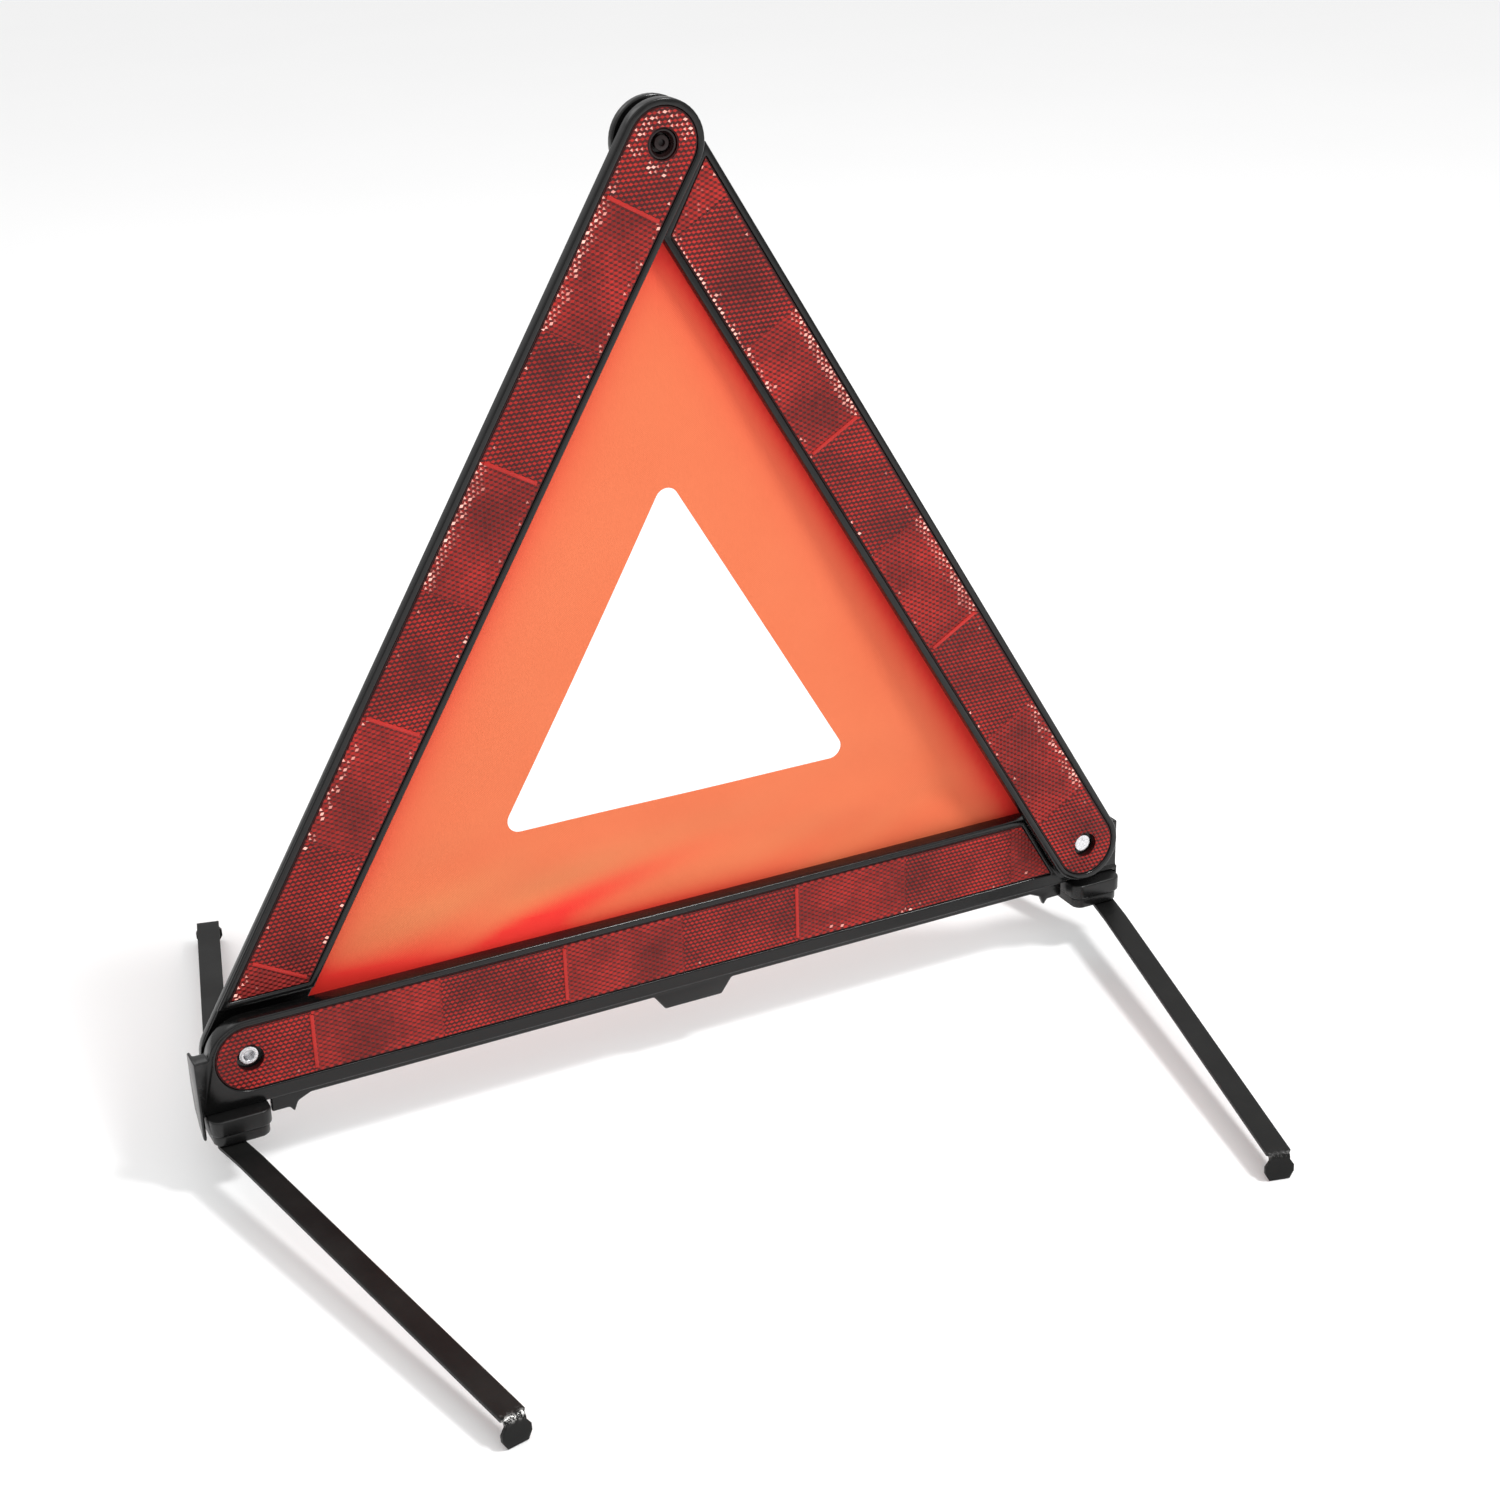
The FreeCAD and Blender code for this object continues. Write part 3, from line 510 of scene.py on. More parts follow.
# %% Floor paint
floor_paint, tree, shader = material("floor_paint", Roughness=0.9, Specular_IOR_Level=0.1)
shade = noise(tree, object_place(tree), 3.0, detail=2.0, rough=0.5)
tree.links.new(mix(tree, shade, (0.95, 0.95, 0.95), (0.97, 0.97, 0.97)),
               shader.inputs["Base Color"])
dress(floor, floor_paint)
print("floor ready")


# %% [markdown]
# ## Working on meshes
#
# An operator acts on whatever is selected, so each step first selects just what it needs. The
# helpers below do that, and finish each piece with its place in its mesh and its object at the
# origin.


# %% Mesh helpers
def pick(piece):
    """Selects one piece alone and makes it active."""
    if bpy.context.object and bpy.context.object.mode != "OBJECT":
        bpy.ops.object.mode_set(mode="OBJECT")
    bpy.ops.object.select_all(action="DESELECT")
    piece.hide_viewport = False
    piece.select_set(True)
    bpy.context.view_layer.objects.active = piece
    return piece


def named(name):
    """Names the newest object."""
    made = bpy.context.object
    made.name = name
    made.data.name = name
    return made


def select_faces(piece, test):
    """Selects the faces whose centre passes a test, and leaves edit mode with only those chosen."""
    pick(piece)
    mesh = piece.data
    mesh.vertices.foreach_set("select", [False] * len(mesh.vertices))
    mesh.edges.foreach_set("select", [False] * len(mesh.edges))
    mesh.polygons.foreach_set("select", [bool(test(face)) for face in mesh.polygons])


def edit(piece, *steps):
    """Runs mesh operators in edit mode, each given as (operator, settings)."""
    pick(piece)
    bpy.ops.object.mode_set(mode="EDIT")
    for operator, settings in steps:
        operator(**settings)
    bpy.ops.object.mode_set(mode="OBJECT")
    return piece


SELECT_ALL = (bpy.ops.mesh.select_all, {"action": "SELECT"})
MERGE = (bpy.ops.mesh.remove_doubles, {"threshold": 1e-6})
OUTWARD = (bpy.ops.mesh.normals_make_consistent, {"inside": False})


def modify(piece, kind, **settings):
    """Adds a modifier and applies it at once."""
    pick(piece)
    made = piece.modifiers.new(kind.lower(), kind)
    for key, value in settings.items():
        setattr(made, key, value)
    bpy.ops.object.modifier_apply(modifier=made.name)
    return piece


def settle(piece, place):
    """Puts a piece in its place and moves that place into its mesh."""
    piece.data.transform(place @ piece.matrix_basis)
    piece.matrix_basis = Matrix.Identity(4)
    return piece


def join(name, pieces):
    """Several pieces become one."""
    pick(pieces[0])
    for piece in pieces:
        piece.select_set(True)
    bpy.ops.object.join()
    return named(name)


def smooth(piece, degrees=35):
    """Smooth shading across shallow edges only."""
    pick(piece)
    bpy.ops.object.shade_smooth_by_angle(angle=math.radians(degrees))
    return piece


def finish(piece, body, finish_material, slot, *replaced):
    """Dresses a finished piece, sets it on its body and hides the CAD nodes that it replaces."""
    dress(piece, finish_material)
    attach(piece, body)
    if replaced:
        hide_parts(*replaced)
    return piece


# %% [markdown]
# ## Trays, brackets and covers
#
# The frame's own solids have the right shape but knife-sharp edges, and moulded plastic has
# none: light runs along every rounded corner as a thin line. Each one is copied, its loose
# triangles are merged, flat faces are dissolved into one, and its edges are bevelled. The bevel
# isn't clamped, because the shortest edge would otherwise thin the rounding of all the others.


# %% Softened copies
def softened(node_name, new_name, body, finish_material, slot, radius, segments=2):
    """A copy of a CAD node with rounded edges, which stands for that node."""
    pick(nodes[node_name])
    bpy.ops.object.duplicate()
    piece = named(new_name)
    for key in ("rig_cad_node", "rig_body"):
        if key in piece:
            del piece[key]
    piece.parent = None
    edit(piece, SELECT_ALL, MERGE,
         (bpy.ops.mesh.dissolve_limited, {"angle_limit": math.radians(0.6)}))
    modify(piece, "BEVEL", width=radius, segments=segments, limit_method="ANGLE",
           angle_limit=math.radians(30), miter_outer="MITER_ARC", use_clamp_overlap=False)
    smooth(piece, 40)
    finish(piece, body, finish_material, slot, node_name)
    print(new_name, len(piece.data.polygons), "faces")
    return piece


TRAY_EDGE = 0.8 * MM
BRACKET_EDGE = 0.9 * MM
COVER_EDGE = 1.1 * MM
softened("base_tray", "base_arm_tray", "root", tray_plastic, "black_plastic", TRAY_EDGE, 3)
softened("left_arm_tray", "left_tray", "left_arm", tray_plastic, "black_plastic", TRAY_EDGE, 3)
softened("right_arm_tray", "right_tray", "right_arm", tray_plastic, "black_plastic", TRAY_EDGE, 3)
for side in ("left", "right"):
    softened(f"{side}_leg_bracket", f"{side}_bracket", "root", bracket_plastic, "black_plastic",
             BRACKET_EDGE, 3)
    softened(f"{side}_bracket_cover", f"{side}_cover", "root", bracket_plastic, "black_plastic",
             COVER_EDGE, 3)


# %% [markdown]
# ## The arms' own directions
#
# Every arm has a rounded end with its pivot, a front, and a direction along which it runs. They
# come from the frame: the joints give the side arms' pivots and how they lean, and the lens
# nodes give how wide a lens is and how far forward it reaches.


# %% Arm frames
def arm_matrix(pivot, along, front):
    """Arm coordinates: x along the arm from its rounded end, z out of its front."""
    turned_to = Matrix((along, front.cross(along), front)).transposed().to_4x4()
    return Matrix.Translation(pivot) @ turned_to


across = Vector((1, 0, 0))
left_hinge = Vector(joints["left_arm_fold"]["pos_m"])
right_hinge = Vector(joints["right_arm_fold"]["pos_m"])
SPAN = right_hinge.x - left_hinge.x
left_front = -Vector(joints["left_arm_fold"]["axis"]).normalized()
right_front = Vector(joints["right_arm_fold"]["axis"]).normalized()
left_up = left_front.cross(across)
right_up = right_front.cross(across)
COS60, SIN60 = 0.5, math.sin(math.radians(60))
apex = left_hinge + (across * COS60 + left_up * SIN60) * SPAN
arms = {
    "base": arm_matrix(Vector((left_hinge.x, 0, left_hinge.z)), across, Vector((0, -1, 0))),
    "left": arm_matrix(apex, -across * COS60 - left_up * SIN60, left_front),
    "right": arm_matrix(right_hinge, -across * COS60 + right_up * SIN60, right_front),
}
bodies = {"base": "root", "left": "left_arm", "right": "right_arm"}
lens_nodes = {"base": "base_lens", "left": "left_arm_lens", "right": "right_arm_lens"}


def seen_from(arm, node_name):
    """A node's vertices in an arm's coordinates."""
    inverse = np.array(arms[arm].inverted())
    points = np.array([v.co for v in nodes[node_name].data.vertices])
    return points @ inverse[:3, :3].T + inverse[:3, 3]


for arm in arms:
    points = seen_from(arm, lens_nodes[arm])
    print(arm, "lens from", np.round(points.min(0) / MM, 2), "to", np.round(points.max(0) / MM, 2))

# %% [markdown]
# ## Prisms
#
# A corner-cube reflector is a honeycomb of small hexagons, each made of three slanting facets
# that meet in the middle. One hexagon is modelled: a disc of six triangles whose rim points
# stand alternately high and half high. Array modifiers repeat it, and each panel of the lens is
# cut out of such a field. Every second panel has its honeycomb turned by 30 degrees, so that it
# flashes at another angle, and that is why the panels look alternately dark and bright.

# %% Sizes of the pattern
CELL = 2.25 * MM            # across the flats of a hexagon
RELIEF = 0.42 * MM          # from a cell's middle to its highest corner
SKIN = 0.08 * MM            # thickness under the prisms
BORDER = 0.7 * MM           # plain edge all round
PANEL = 58.9 * MM           # length of a panel
FIRST = 28.3 * MM           # from the pivot to the first panel line
PANELS = 7                  # panel lines on an arm
HALF_LENS = 14.5 * MM       # half width over which brightness is laid out
EYE = {"base": 6.1 * MM, "left": 7.0 * MM, "right": 6.1 * MM}   # clear radius round each pivot
print("a panel holds about", round(PANEL / CELL), "cells along its length")


# %% One field of prisms
def prism_field(low, high, half_wide, turned):
    """A rectangle of prisms from low to high along the arm, cut out of a larger honeycomb."""
    bpy.ops.object.select_all(action="DESELECT")
    corner = CELL / math.sqrt(3)
    bpy.ops.mesh.primitive_circle_add(vertices=6, radius=corner, fill_type="TRIFAN")
    field = named("field")
    rim = sorted((v for v in field.data.vertices if v.co.length > corner / 2),
                 key=lambda v: math.atan2(v.co.y, v.co.x))
    for number, vertex in enumerate(rim):
        vertex.co.z = RELIEF if number % 2 else RELIEF / 2
    reach = math.hypot(high - low, 2 * half_wide) + 4 * CELL
    columns = math.ceil((reach if turned else high - low + 4 * CELL) / CELL)
    rows = math.ceil((reach if turned else 2 * half_wide + 4 * CELL) / (3 * corner))
    steps = ((columns, (CELL, 0, 0)), (2, (CELL / 2, 1.5 * corner, 0)), (rows, (0, 3 * corner, 0)))
    for count, offset in steps:
        modify(field, "ARRAY", count=count, use_relative_offset=False, use_constant_offset=True,
               constant_offset_displace=offset, use_merge_vertices=True, merge_threshold=1e-5)
    middle_now = Vector((columns * CELL / 2, rows * 1.5 * corner, 0))
    turn = Matrix.Rotation(math.radians(30) if turned else 0, 4, "Z")
    field.data.transform(Matrix.Translation(((low + high) / 2, 0, 0)) @ turn
                         @ Matrix.Translation(-middle_now))
    cuts = (((low, 0, 0), (-1, 0, 0)), ((high, 0, 0), (1, 0, 0)),
            ((0, -half_wide, 0), (0, -1, 0)), ((0, half_wide, 0), (0, 1, 0)))
    for point, out in cuts:
        edit(field, SELECT_ALL, (bpy.ops.mesh.bisect,
             {"plane_co": point, "plane_no": out, "clear_outer": True, "use_fill": False}))
    return field


test_field = prism_field(0, 20 * MM, 10 * MM, False)
print("a trial field has", len(test_field.data.polygons), "facets")
bpy.data.objects.remove(test_field)


# %% [markdown]
# The panels of one arm are joined, and the ends are shaped: points beyond the round end are
# drawn in to it, and the far end is cut along the slanting line where the next arm crosses. The
# eye round the rivet is cleared in the same way. Then the skin gets its thickness.


# %% Shaping a lens
def squeeze(piece, centre, radius, outside):
    """Drops facets that lie wholly beyond a circle and draws the rest of the points in to it."""
    mesh = piece.data
    points = np.array([v.co for v in mesh.vertices])
    away = points[:, :2] - np.array(centre)
    distance = np.maximum(np.linalg.norm(away, axis=1), 1e-9)
    if outside:
        wrong = (distance > radius) & (points[:, 0] < centre[0])
    else:
        wrong = distance < radius
    select_faces(piece, lambda face: all(wrong[i] for i in face.vertices))
    for vertex in mesh.vertices:
        if wrong[vertex.index]:
            x, y = np.array(centre) + away[vertex.index] / distance[vertex.index] * radius
            vertex.co.x, vertex.co.y = x, y
    bpy.ops.object.mode_set(mode="EDIT")
    bpy.ops.mesh.delete(type="FACE")
    bpy.ops.object.mode_set(mode="OBJECT")


def far_cut(piece, end_low, half_wide):
    """Cuts the far end along the arm that crosses it, at 30 degrees."""
    slant = math.radians(30)
    edit(piece, SELECT_ALL, (bpy.ops.mesh.bisect, {
        "plane_co": (end_low - BORDER, -half_wide, 0),
        "plane_no": (math.cos(slant), math.sin(slant), 0), "clear_outer": True}))


# %% [markdown]
# A prism flashes where it happens to send a light straight back; these flashes are painted
# highlights, pale colour and a little emission on chosen facets. On the side arms that is mostly
# along the outer border of every second panel, on the left arm also round the pivot, and hardly
# anywhere on the base arm. The chance of a flash is laid out by rule for each arm: panel counts
# panels from the first line, u runs along the arm and v across it.


# %% Where cells flash
OUTER_LINE = HALF_LENS - 3 * MM      # flashes start this far from the middle, outside
INNER_LINE = HALF_LENS - 2 * MM      # and this far from it, inside
OUTER_FADE = 0.9 * MM                # and thin out over these lengths
INNER_FADE = 0.6 * MM
MOST = 0.97                          # no place flashes all over


def near(value, reach):
    """1 at a border, fading over a reach."""
    return np.exp(-np.maximum(value, 0) / reach)


def between(value, low, high):
    """Where a value lies between two others."""
    return (value > low) & (value < high)


def flash(arm, u, v):
    """How likely a cell is to flash, for its place along and across the arm."""
    panel = (u - FIRST) / PANEL
    turned = (np.floor(panel) % 2 == 0) & (panel > 0)
    outer = near(v + OUTER_LINE, OUTER_FADE)
    inner = near(INNER_LINE - v, INNER_FADE)
    chance = np.zeros(u.shape)
    if arm == "left":
        distance = np.hypot(u, v)
        crown = between(distance, 8.5 * MM, 14 * MM) & (u + v < 2 * MM)
        below_eye = between(distance, 8 * MM, 12 * MM) & (u > 5 * MM)
        chance += np.where(turned & (panel < 3), 1.0, 0.04) * outer
        chance += np.where(turned & (panel > 3), 0.3, 0.0) * outer
        chance += np.where(turned & (panel < 1), 0.3, 0.1) * inner
        chance += np.where(crown, 0.8, 0.0)
        chance += np.where(below_eye, 0.6, 0.0)
        chance += np.where(between(panel, -0.4, 0), 0.35, 0.0) * outer
    if arm == "right":
        chance += np.where(turned & between(panel, 1, 5), 1.0, 0.03) * outer
        chance += np.where(panel > 4.6, 1.0, 0.06) * inner
        chance += np.where(turned & (panel < 1), 0.6, 0.0) * outer
        chance += np.where(panel > 6, 0.08, 0.0)
    if arm == "base":
        chance += np.where(between(panel, 2.9, 5.2), 0.06, 0.01) * outer
    return np.clip(chance, 0, MOST), turned


# %% [markdown]
# No lens is evenly bright: the tone has broad lighter and darker patches and a paler band along
# the edges, and single cells differ. Inside a cell, the facet that looks up is painted palest,
# painted shade and light that stand in for how light falls on the facets. Both are worked out
# facet by facet and kept on the mesh as the attributes tone and glint; glint is a painted highlight.


# %% How bright each facet is
# Painted light: facets facing this way are painted palest, as if lit from it.
PAINTED_LIGHT_SIDE = Vector((-0.1, 0, 1))     # the way that the palest facets face
LOOKS_UP = 0.6                       # only facets turned this much towards it flash
NEAR_EYE = 15 * MM                   # flashes stay strong this close to a pivot


def patches(arm, u, v):
    """Broad cloudy lighter and darker places over a lens, about 1 on average."""
    shift = {"base": 0.0, "left": 2.1, "right": 4.4}[arm]
    long_wave = np.sin(u / (11 * MM) + shift + 0.7 * np.sin(v / (6 * MM)))
    short_wave = np.sin(u / (5.3 * MM) - v / (7 * MM) + 2 * shift)
    edge_lift = near(HALF_LENS - np.abs(v), 3 * MM)
    return 0.92 + 0.2 * long_wave + 0.12 * short_wave + 0.3 * edge_lift


def scatter(x, y):
    """A number between 0 and 1 for each place, without order but always the same."""
    mixed = np.sin(np.round(x / MM, 1) * 12.9898 + np.round(y / MM, 1) * 78.233) * 43758.5453
    return mixed - np.floor(mixed)


def mark(piece, arm):
    """Writes to each facet its painted shade and light, and how strongly its painted highlight
    flashes, in arm coordinates.
    """
    mesh = piece.data
    count = len(mesh.polygons)
    points = np.array([v.co for v in mesh.vertices])
    facets = np.array([face.vertices[:3] for face in mesh.polygons])
    corners = points[facets]
    hub = corners[np.arange(count), corners[:, :, 2].argmin(1)]
    normals = np.empty(count * 3)
    centres = np.empty(count * 3)
    mesh.polygons.foreach_get("normal", normals)
    mesh.polygons.foreach_get("center", centres)
    normals, centres = normals.reshape(-1, 3), centres.reshape(-1, 3)
    upward = np.array(arms[arm].inverted().to_3x3() @ PAINTED_LIGHT_SIDE)[:2]
    sideways = np.array([upward[1], -upward[0]])
    slope = np.maximum(np.linalg.norm(normals[:, :2], axis=1), 1e-6)
    lift = (normals[:, :2] @ upward) / slope / np.linalg.norm(upward)
    chance, turned = flash(arm, hub[:, 0], hub[:, 1])
    level = scatter(hub[:, 0], hub[:, 1])
    other = scatter(hub[:, 1] + 0.3, hub[:, 0])
    # Painted shade and light: a facet is painted paler the more it faces the painted light side, and
    # the two kinds of panel are painted differently bright.
    step = np.where(turned, 0.44 + 0.36 * lift, 0.33 + 0.5 * lift)
    tone = step * (0.8 + 0.4 * other) * patches(arm, hub[:, 0], hub[:, 1])
    # Painted highlight: in a flashing cell the facet turned to the light, or half of it, is painted
    # pale.
    left_half = (centres[:, :2] - hub[:, :2]) @ sideways < 0
    shows = (level < chance) & (lift > LOOKS_UP) & (left_half | (other > 0.75))
    deep = np.clip((HALF_LENS - np.abs(hub[:, 1])) / (4 * MM), 0, 1)
    deep = np.where(np.hypot(hub[:, 0], hub[:, 1]) < NEAR_EYE, 0.3, deep)
    glint = np.where(shows, (0.3 + 0.7 * other) * (1 - 0.7 * deep), 0.0)
    for name, values in (("tone", tone), ("glint", glint)):
        attribute = mesh.attributes.new(name, "FLOAT", "FACE")
        attribute.data.foreach_set("value", np.clip(values, 0, 1).astype(np.float32))


# %% [markdown]
# Each arm's lens starts at its rounded end, has a line after every panel, and stops at the
# slanting cut. Its fields are merged into one skin before it is shaped, marked and placed.

# %% Three lenses of prisms
for arm, place in arms.items():
    points = seen_from(arm, lens_nodes[arm])
    face = points[:, 2].max()
    half_wide = points[:, 1].max() - BORDER
    low_end = points[np.abs(points[:, 1] - points[:, 1].min()) < 0.05 * MM][:, 0].max()
    lines = [-half_wide] + [FIRST + i * PANEL for i in range(PANELS)] + [low_end]
    fields = []
    for number, (start, stop) in enumerate(zip(lines, lines[1:])):
        turned = number % 2 == 1
        fields.append(prism_field(start, stop, half_wide, turned))
    prisms = join(f"{arm}_prisms", fields)
    edit(prisms, SELECT_ALL, (bpy.ops.mesh.remove_doubles, {"threshold": 2e-5}))
    far_cut(prisms, low_end, half_wide)
    squeeze(prisms, (0, 0), half_wide, True)
    squeeze(prisms, (0, 0), EYE[arm], False)
    modify(prisms, "SOLIDIFY", thickness=SKIN, offset=-1)
    mark(prisms, arm)
    prisms.data.transform(Matrix.Translation((0, 0, face + SKIN)))
    settle(prisms, place)
    finish(prisms, bodies[arm], lens_red, "red_lens")
    print(prisms.name, len(prisms.data.polygons), "facets")

# %% [markdown]
# The lens slab under the prisms is the frame's own solid. It shows as the plain border, so it
# keeps its shape and gets the same red.

# %% Lens slabs
for arm, node_name in lens_nodes.items():
    dress(nodes[node_name], lens_red)
print("slabs dressed")

# %% [markdown]
# A plain rib stands between two panels wherever the mould changes, and it catches more light than
# the prisms; that light is painted in as a paler red. Each is one bevelled bar across the lens.

# %% Panel ribs
RIB_WIDE = 1.7 * MM
RIB_TALL = 0.62 * MM
rib_lines = {"base": (0, 2, 4), "left": (0, 2, 4, 6), "right": (2, 4)}
for arm, place in arms.items():
    points = seen_from(arm, lens_nodes[arm])
    face = points[:, 2].max()
    half_wide = points[:, 1].max() - BORDER
    ribs = []
    for number in rib_lines[arm]:
        bpy.ops.object.select_all(action="DESELECT")
        bpy.ops.mesh.primitive_cube_add(size=1)
        rib = named("rib")
        rib.data.transform(Matrix.Diagonal((RIB_WIDE, 2 * half_wide - 3 * MM, RIB_TALL, 1)))
        modify(rib, "BEVEL", width=0.25 * MM, segments=2, limit_method="ANGLE")
        settle(rib, Matrix.Translation((FIRST + number * PANEL, 0, face + RIB_TALL / 2)))
        ribs.append(rib)
    bars = join(f"{arm}_panel_ribs", ribs)
    smooth(bars)
    settle(bars, place)
    finish(bars, bodies[arm], rib_red, "red_lens")
    print(bars.name, len(bars.data.polygons), "faces")

# %% [markdown]
# ## Rivets, washers, pins and the catch
#
# These are all turned or headed parts, so each is half a profile spun round its own axis. A
# profile is drawn as a chain of points, radius and height, and the spin operator makes the rest.


# %% Turned parts
def turned_part(name, profile, place, steps=40):
    """A closed profile of (radius, height) points, in metres, spun about z and put in its place."""
    bpy.ops.object.select_all(action="DESELECT")
    bpy.ops.mesh.primitive_plane_add(size=1)
    piece = named(name)
    mesh = piece.data
    mesh.clear_geometry()
    count = len(profile)
    closed = profile[0][0] > 1e-9
    chain = [(i, (i + 1) % count) for i in range(count if closed else count - 1)]
    mesh.from_pydata([(radius, 0, tall) for radius, tall in profile], chain, [])
    mesh.update()
    edit(piece, SELECT_ALL,
         (bpy.ops.mesh.spin, {"steps": steps, "angle": math.tau, "center": (0, 0, 0),
                              "axis": (0, 0, 1), "dupli": False}),
         SELECT_ALL, (bpy.ops.mesh.remove_doubles, {"threshold": 1e-7}), OUTWARD)
    smooth(piece, 30)
    settle(piece, place)
    return piece


def arc(centre, radius, start, stop, steps=6):
    """Points on an arc in a profile, angles in degrees from the radius direction."""
    angles = np.radians(np.linspace(start, stop, steps))
    return [(centre[0] + radius * math.cos(a), centre[1] + radius * math.sin(a)) for a in angles]


def extent(node_name, place):
    """A node's lowest and highest height along the z of a place, and its largest radius."""
    inverse = np.array(place.inverted())
    points = np.array([v.co for v in nodes[node_name].data.vertices])
    local = points @ inverse[:3, :3].T + inverse[:3, 3]
    return local[:, 2].min(), local[:, 2].max(), np.hypot(local[:, 0], local[:, 1]).max()


facing = Matrix.Rotation(math.radians(90), 4, "X")
corner_places = {"left": Matrix.Translation((left_hinge.x, 0, left_hinge.z)) @ facing,
                 "right": Matrix.Translation((right_hinge.x, 0, right_hinge.z)) @ facing}

# %% [markdown]
# The two corner rivets join the arms and are what they turn on. The left one is semi-tubular and
# shows its hollow end in front, and the right one shows a flat head with a shallow dish.

# %% Corner rivets
for side, place in corner_places.items():
    low, high, radius = extent(f"{side}_rivet", place)
    shank = 2.5 * MM
    thick = 1.2 * MM        # height of the head
    roll = 0.55 * MM        # rounding of its rim
    under = high - thick
    tail = 4.0 * MM         # radius of the formed end
    head = [(shank, under), (radius - 0.2 * MM, under)]
    head += arc((radius - roll, under + roll), roll, -60, 90, 8)
    if side == "left":
        inner = 2.3 * MM
        head += arc((inner + roll, high - roll), roll, 90, 180, 6)
        head += [(inner, high - 2.4 * MM), (inner - 0.5 * MM, high - 3 * MM), (0, high - 3 * MM)]
    else:
        head += [(2.4 * MM, high), (1.9 * MM, high - 0.18 * MM), (0, high - 0.22 * MM)]
    foot = [(0, low), (1.2 * MM, low)]
    foot += arc((tail - 0.5 * MM, low + 0.5 * MM), 0.5 * MM, -90, 60, 7)
    foot += [(shank, low + thick)]
    profile = head[::-1] + [(shank, (low + high) / 2)] + foot[::-1]
    rivet = turned_part(f"{side}_corner_rivet", profile, place)
    finish(rivet, "root", rivet_metal, "bright_rivet", f"{side}_rivet")
    print(rivet.name, "from", round(low / MM, 2), "to", round(high / MM, 2), "mm")

# %% [markdown]
# A plated washer under each tail keeps the rivet from pulling through the plastic. It is a plain
# ring, chamfered on all four edges.

# %% Washers
inner = 2.55 * MM
chamfer = 0.15 * MM
for side, place in corner_places.items():
    low, high, radius = extent(f"{side}_rivet_washer", place)
    profile = [(inner, low + chamfer), (inner + chamfer, low), (radius - chamfer, low),
               (radius, low + chamfer), (radius, high - chamfer), (radius - chamfer, high),
               (inner + chamfer, high), (inner, high - chamfer)]
    disc = turned_part(f"{side}_washer", profile, place)
    finish(disc, "root", washer_metal, "bright_rivet", f"{side}_rivet_washer")
print("washers turned")

# %% [markdown]
# Each leg turns on a pin that stands upright in its bracket. Its domed head below carries the leg.

# %% Leg pins
LEG_WORDS = ("front_left", "front_right", "rear_left", "rear_right")
for word in LEG_WORDS:
    pivot = Vector(joints[f"{word}_leg_turn"]["pos_m"])
    place = Matrix.Translation((pivot.x, pivot.y, 0))
    low, high, radius = extent(f"{word}_leg_pin", place)
    shank = 2.0 * MM
    crown = 0.5 * MM        # rounding of the head
    profile = [(0, low), (1.6 * MM, low + 0.05 * MM)]
    profile += arc((radius - crown, low + crown), crown, -80, 80, 7)
    profile += [(shank, low + 1.2 * MM), (shank, high - 0.3 * MM)]
    profile += [(shank - 0.3 * MM, high), (0, high)]
    pin = turned_part(f"{word}_pin", profile, place, 32)
    finish(pin, "root", washer_metal, "bright_rivet", f"{word}_leg_pin")
print("leg pins turned")

# %% [markdown]
# At the top, a stud on the right arm snaps into a ring in the left arm. A flange sets how far it
# goes in, a small bulge near its end holds it, and the hollow end lets it give.

# %% Catch at the top: socket ring and stud
socket_place = arms["left"]
low, high, radius = extent("apex_socket", socket_place)
bore = 4.35 * MM
lip = 0.35 * MM
profile = [(bore, low), (radius, low)] + arc((radius - lip, high - lip), lip, 0, 90, 4)
profile += arc((bore + 0.8 * MM + lip, high - lip), lip, 90, 180, 4) + [(bore, high - 1.4 * MM)]
socket = turned_part("apex_socket_ring", profile, socket_place)
finish(socket, "left_arm", catch_plastic, "black_plastic", "apex_socket")

stud_place = arms["right"] @ Matrix.Translation((SPAN, 0, 0))
low, high, radius = extent("apex_stud", stud_place)
foot = high - 4.6 * MM
profile = [(0, low), (2.5 * MM, low), (2.5 * MM, foot), (radius, foot),
           (radius, foot + 0.8 * MM), (2.8 * MM, foot + 0.8 * MM), (2.8 * MM, high - 1.1 * MM)]
profile += arc((2.8 * MM, high - 0.55 * MM), 0.5 * MM, -80, 60, 6)
profile += [(2.3 * MM, high), (1.5 * MM, high)]
profile += [(1.3 * MM, high - 1.6 * MM), (0, high - 1.8 * MM)]
stud = turned_part("apex_stud_post", profile, stud_place)
finish(stud, "right_arm", catch_plastic, "black_plastic", "apex_stud")
print("catch turned")

# %% [markdown]
# ## Legs
#
# Each leg is a strip of steel, punched out and bent once: a round root on its pin, a long straight
# run, a narrow neck at the bend and a foot with clipped corners. The blank is outlined first, its
# points are moved onto the bent line, and only then does it get its thickness.

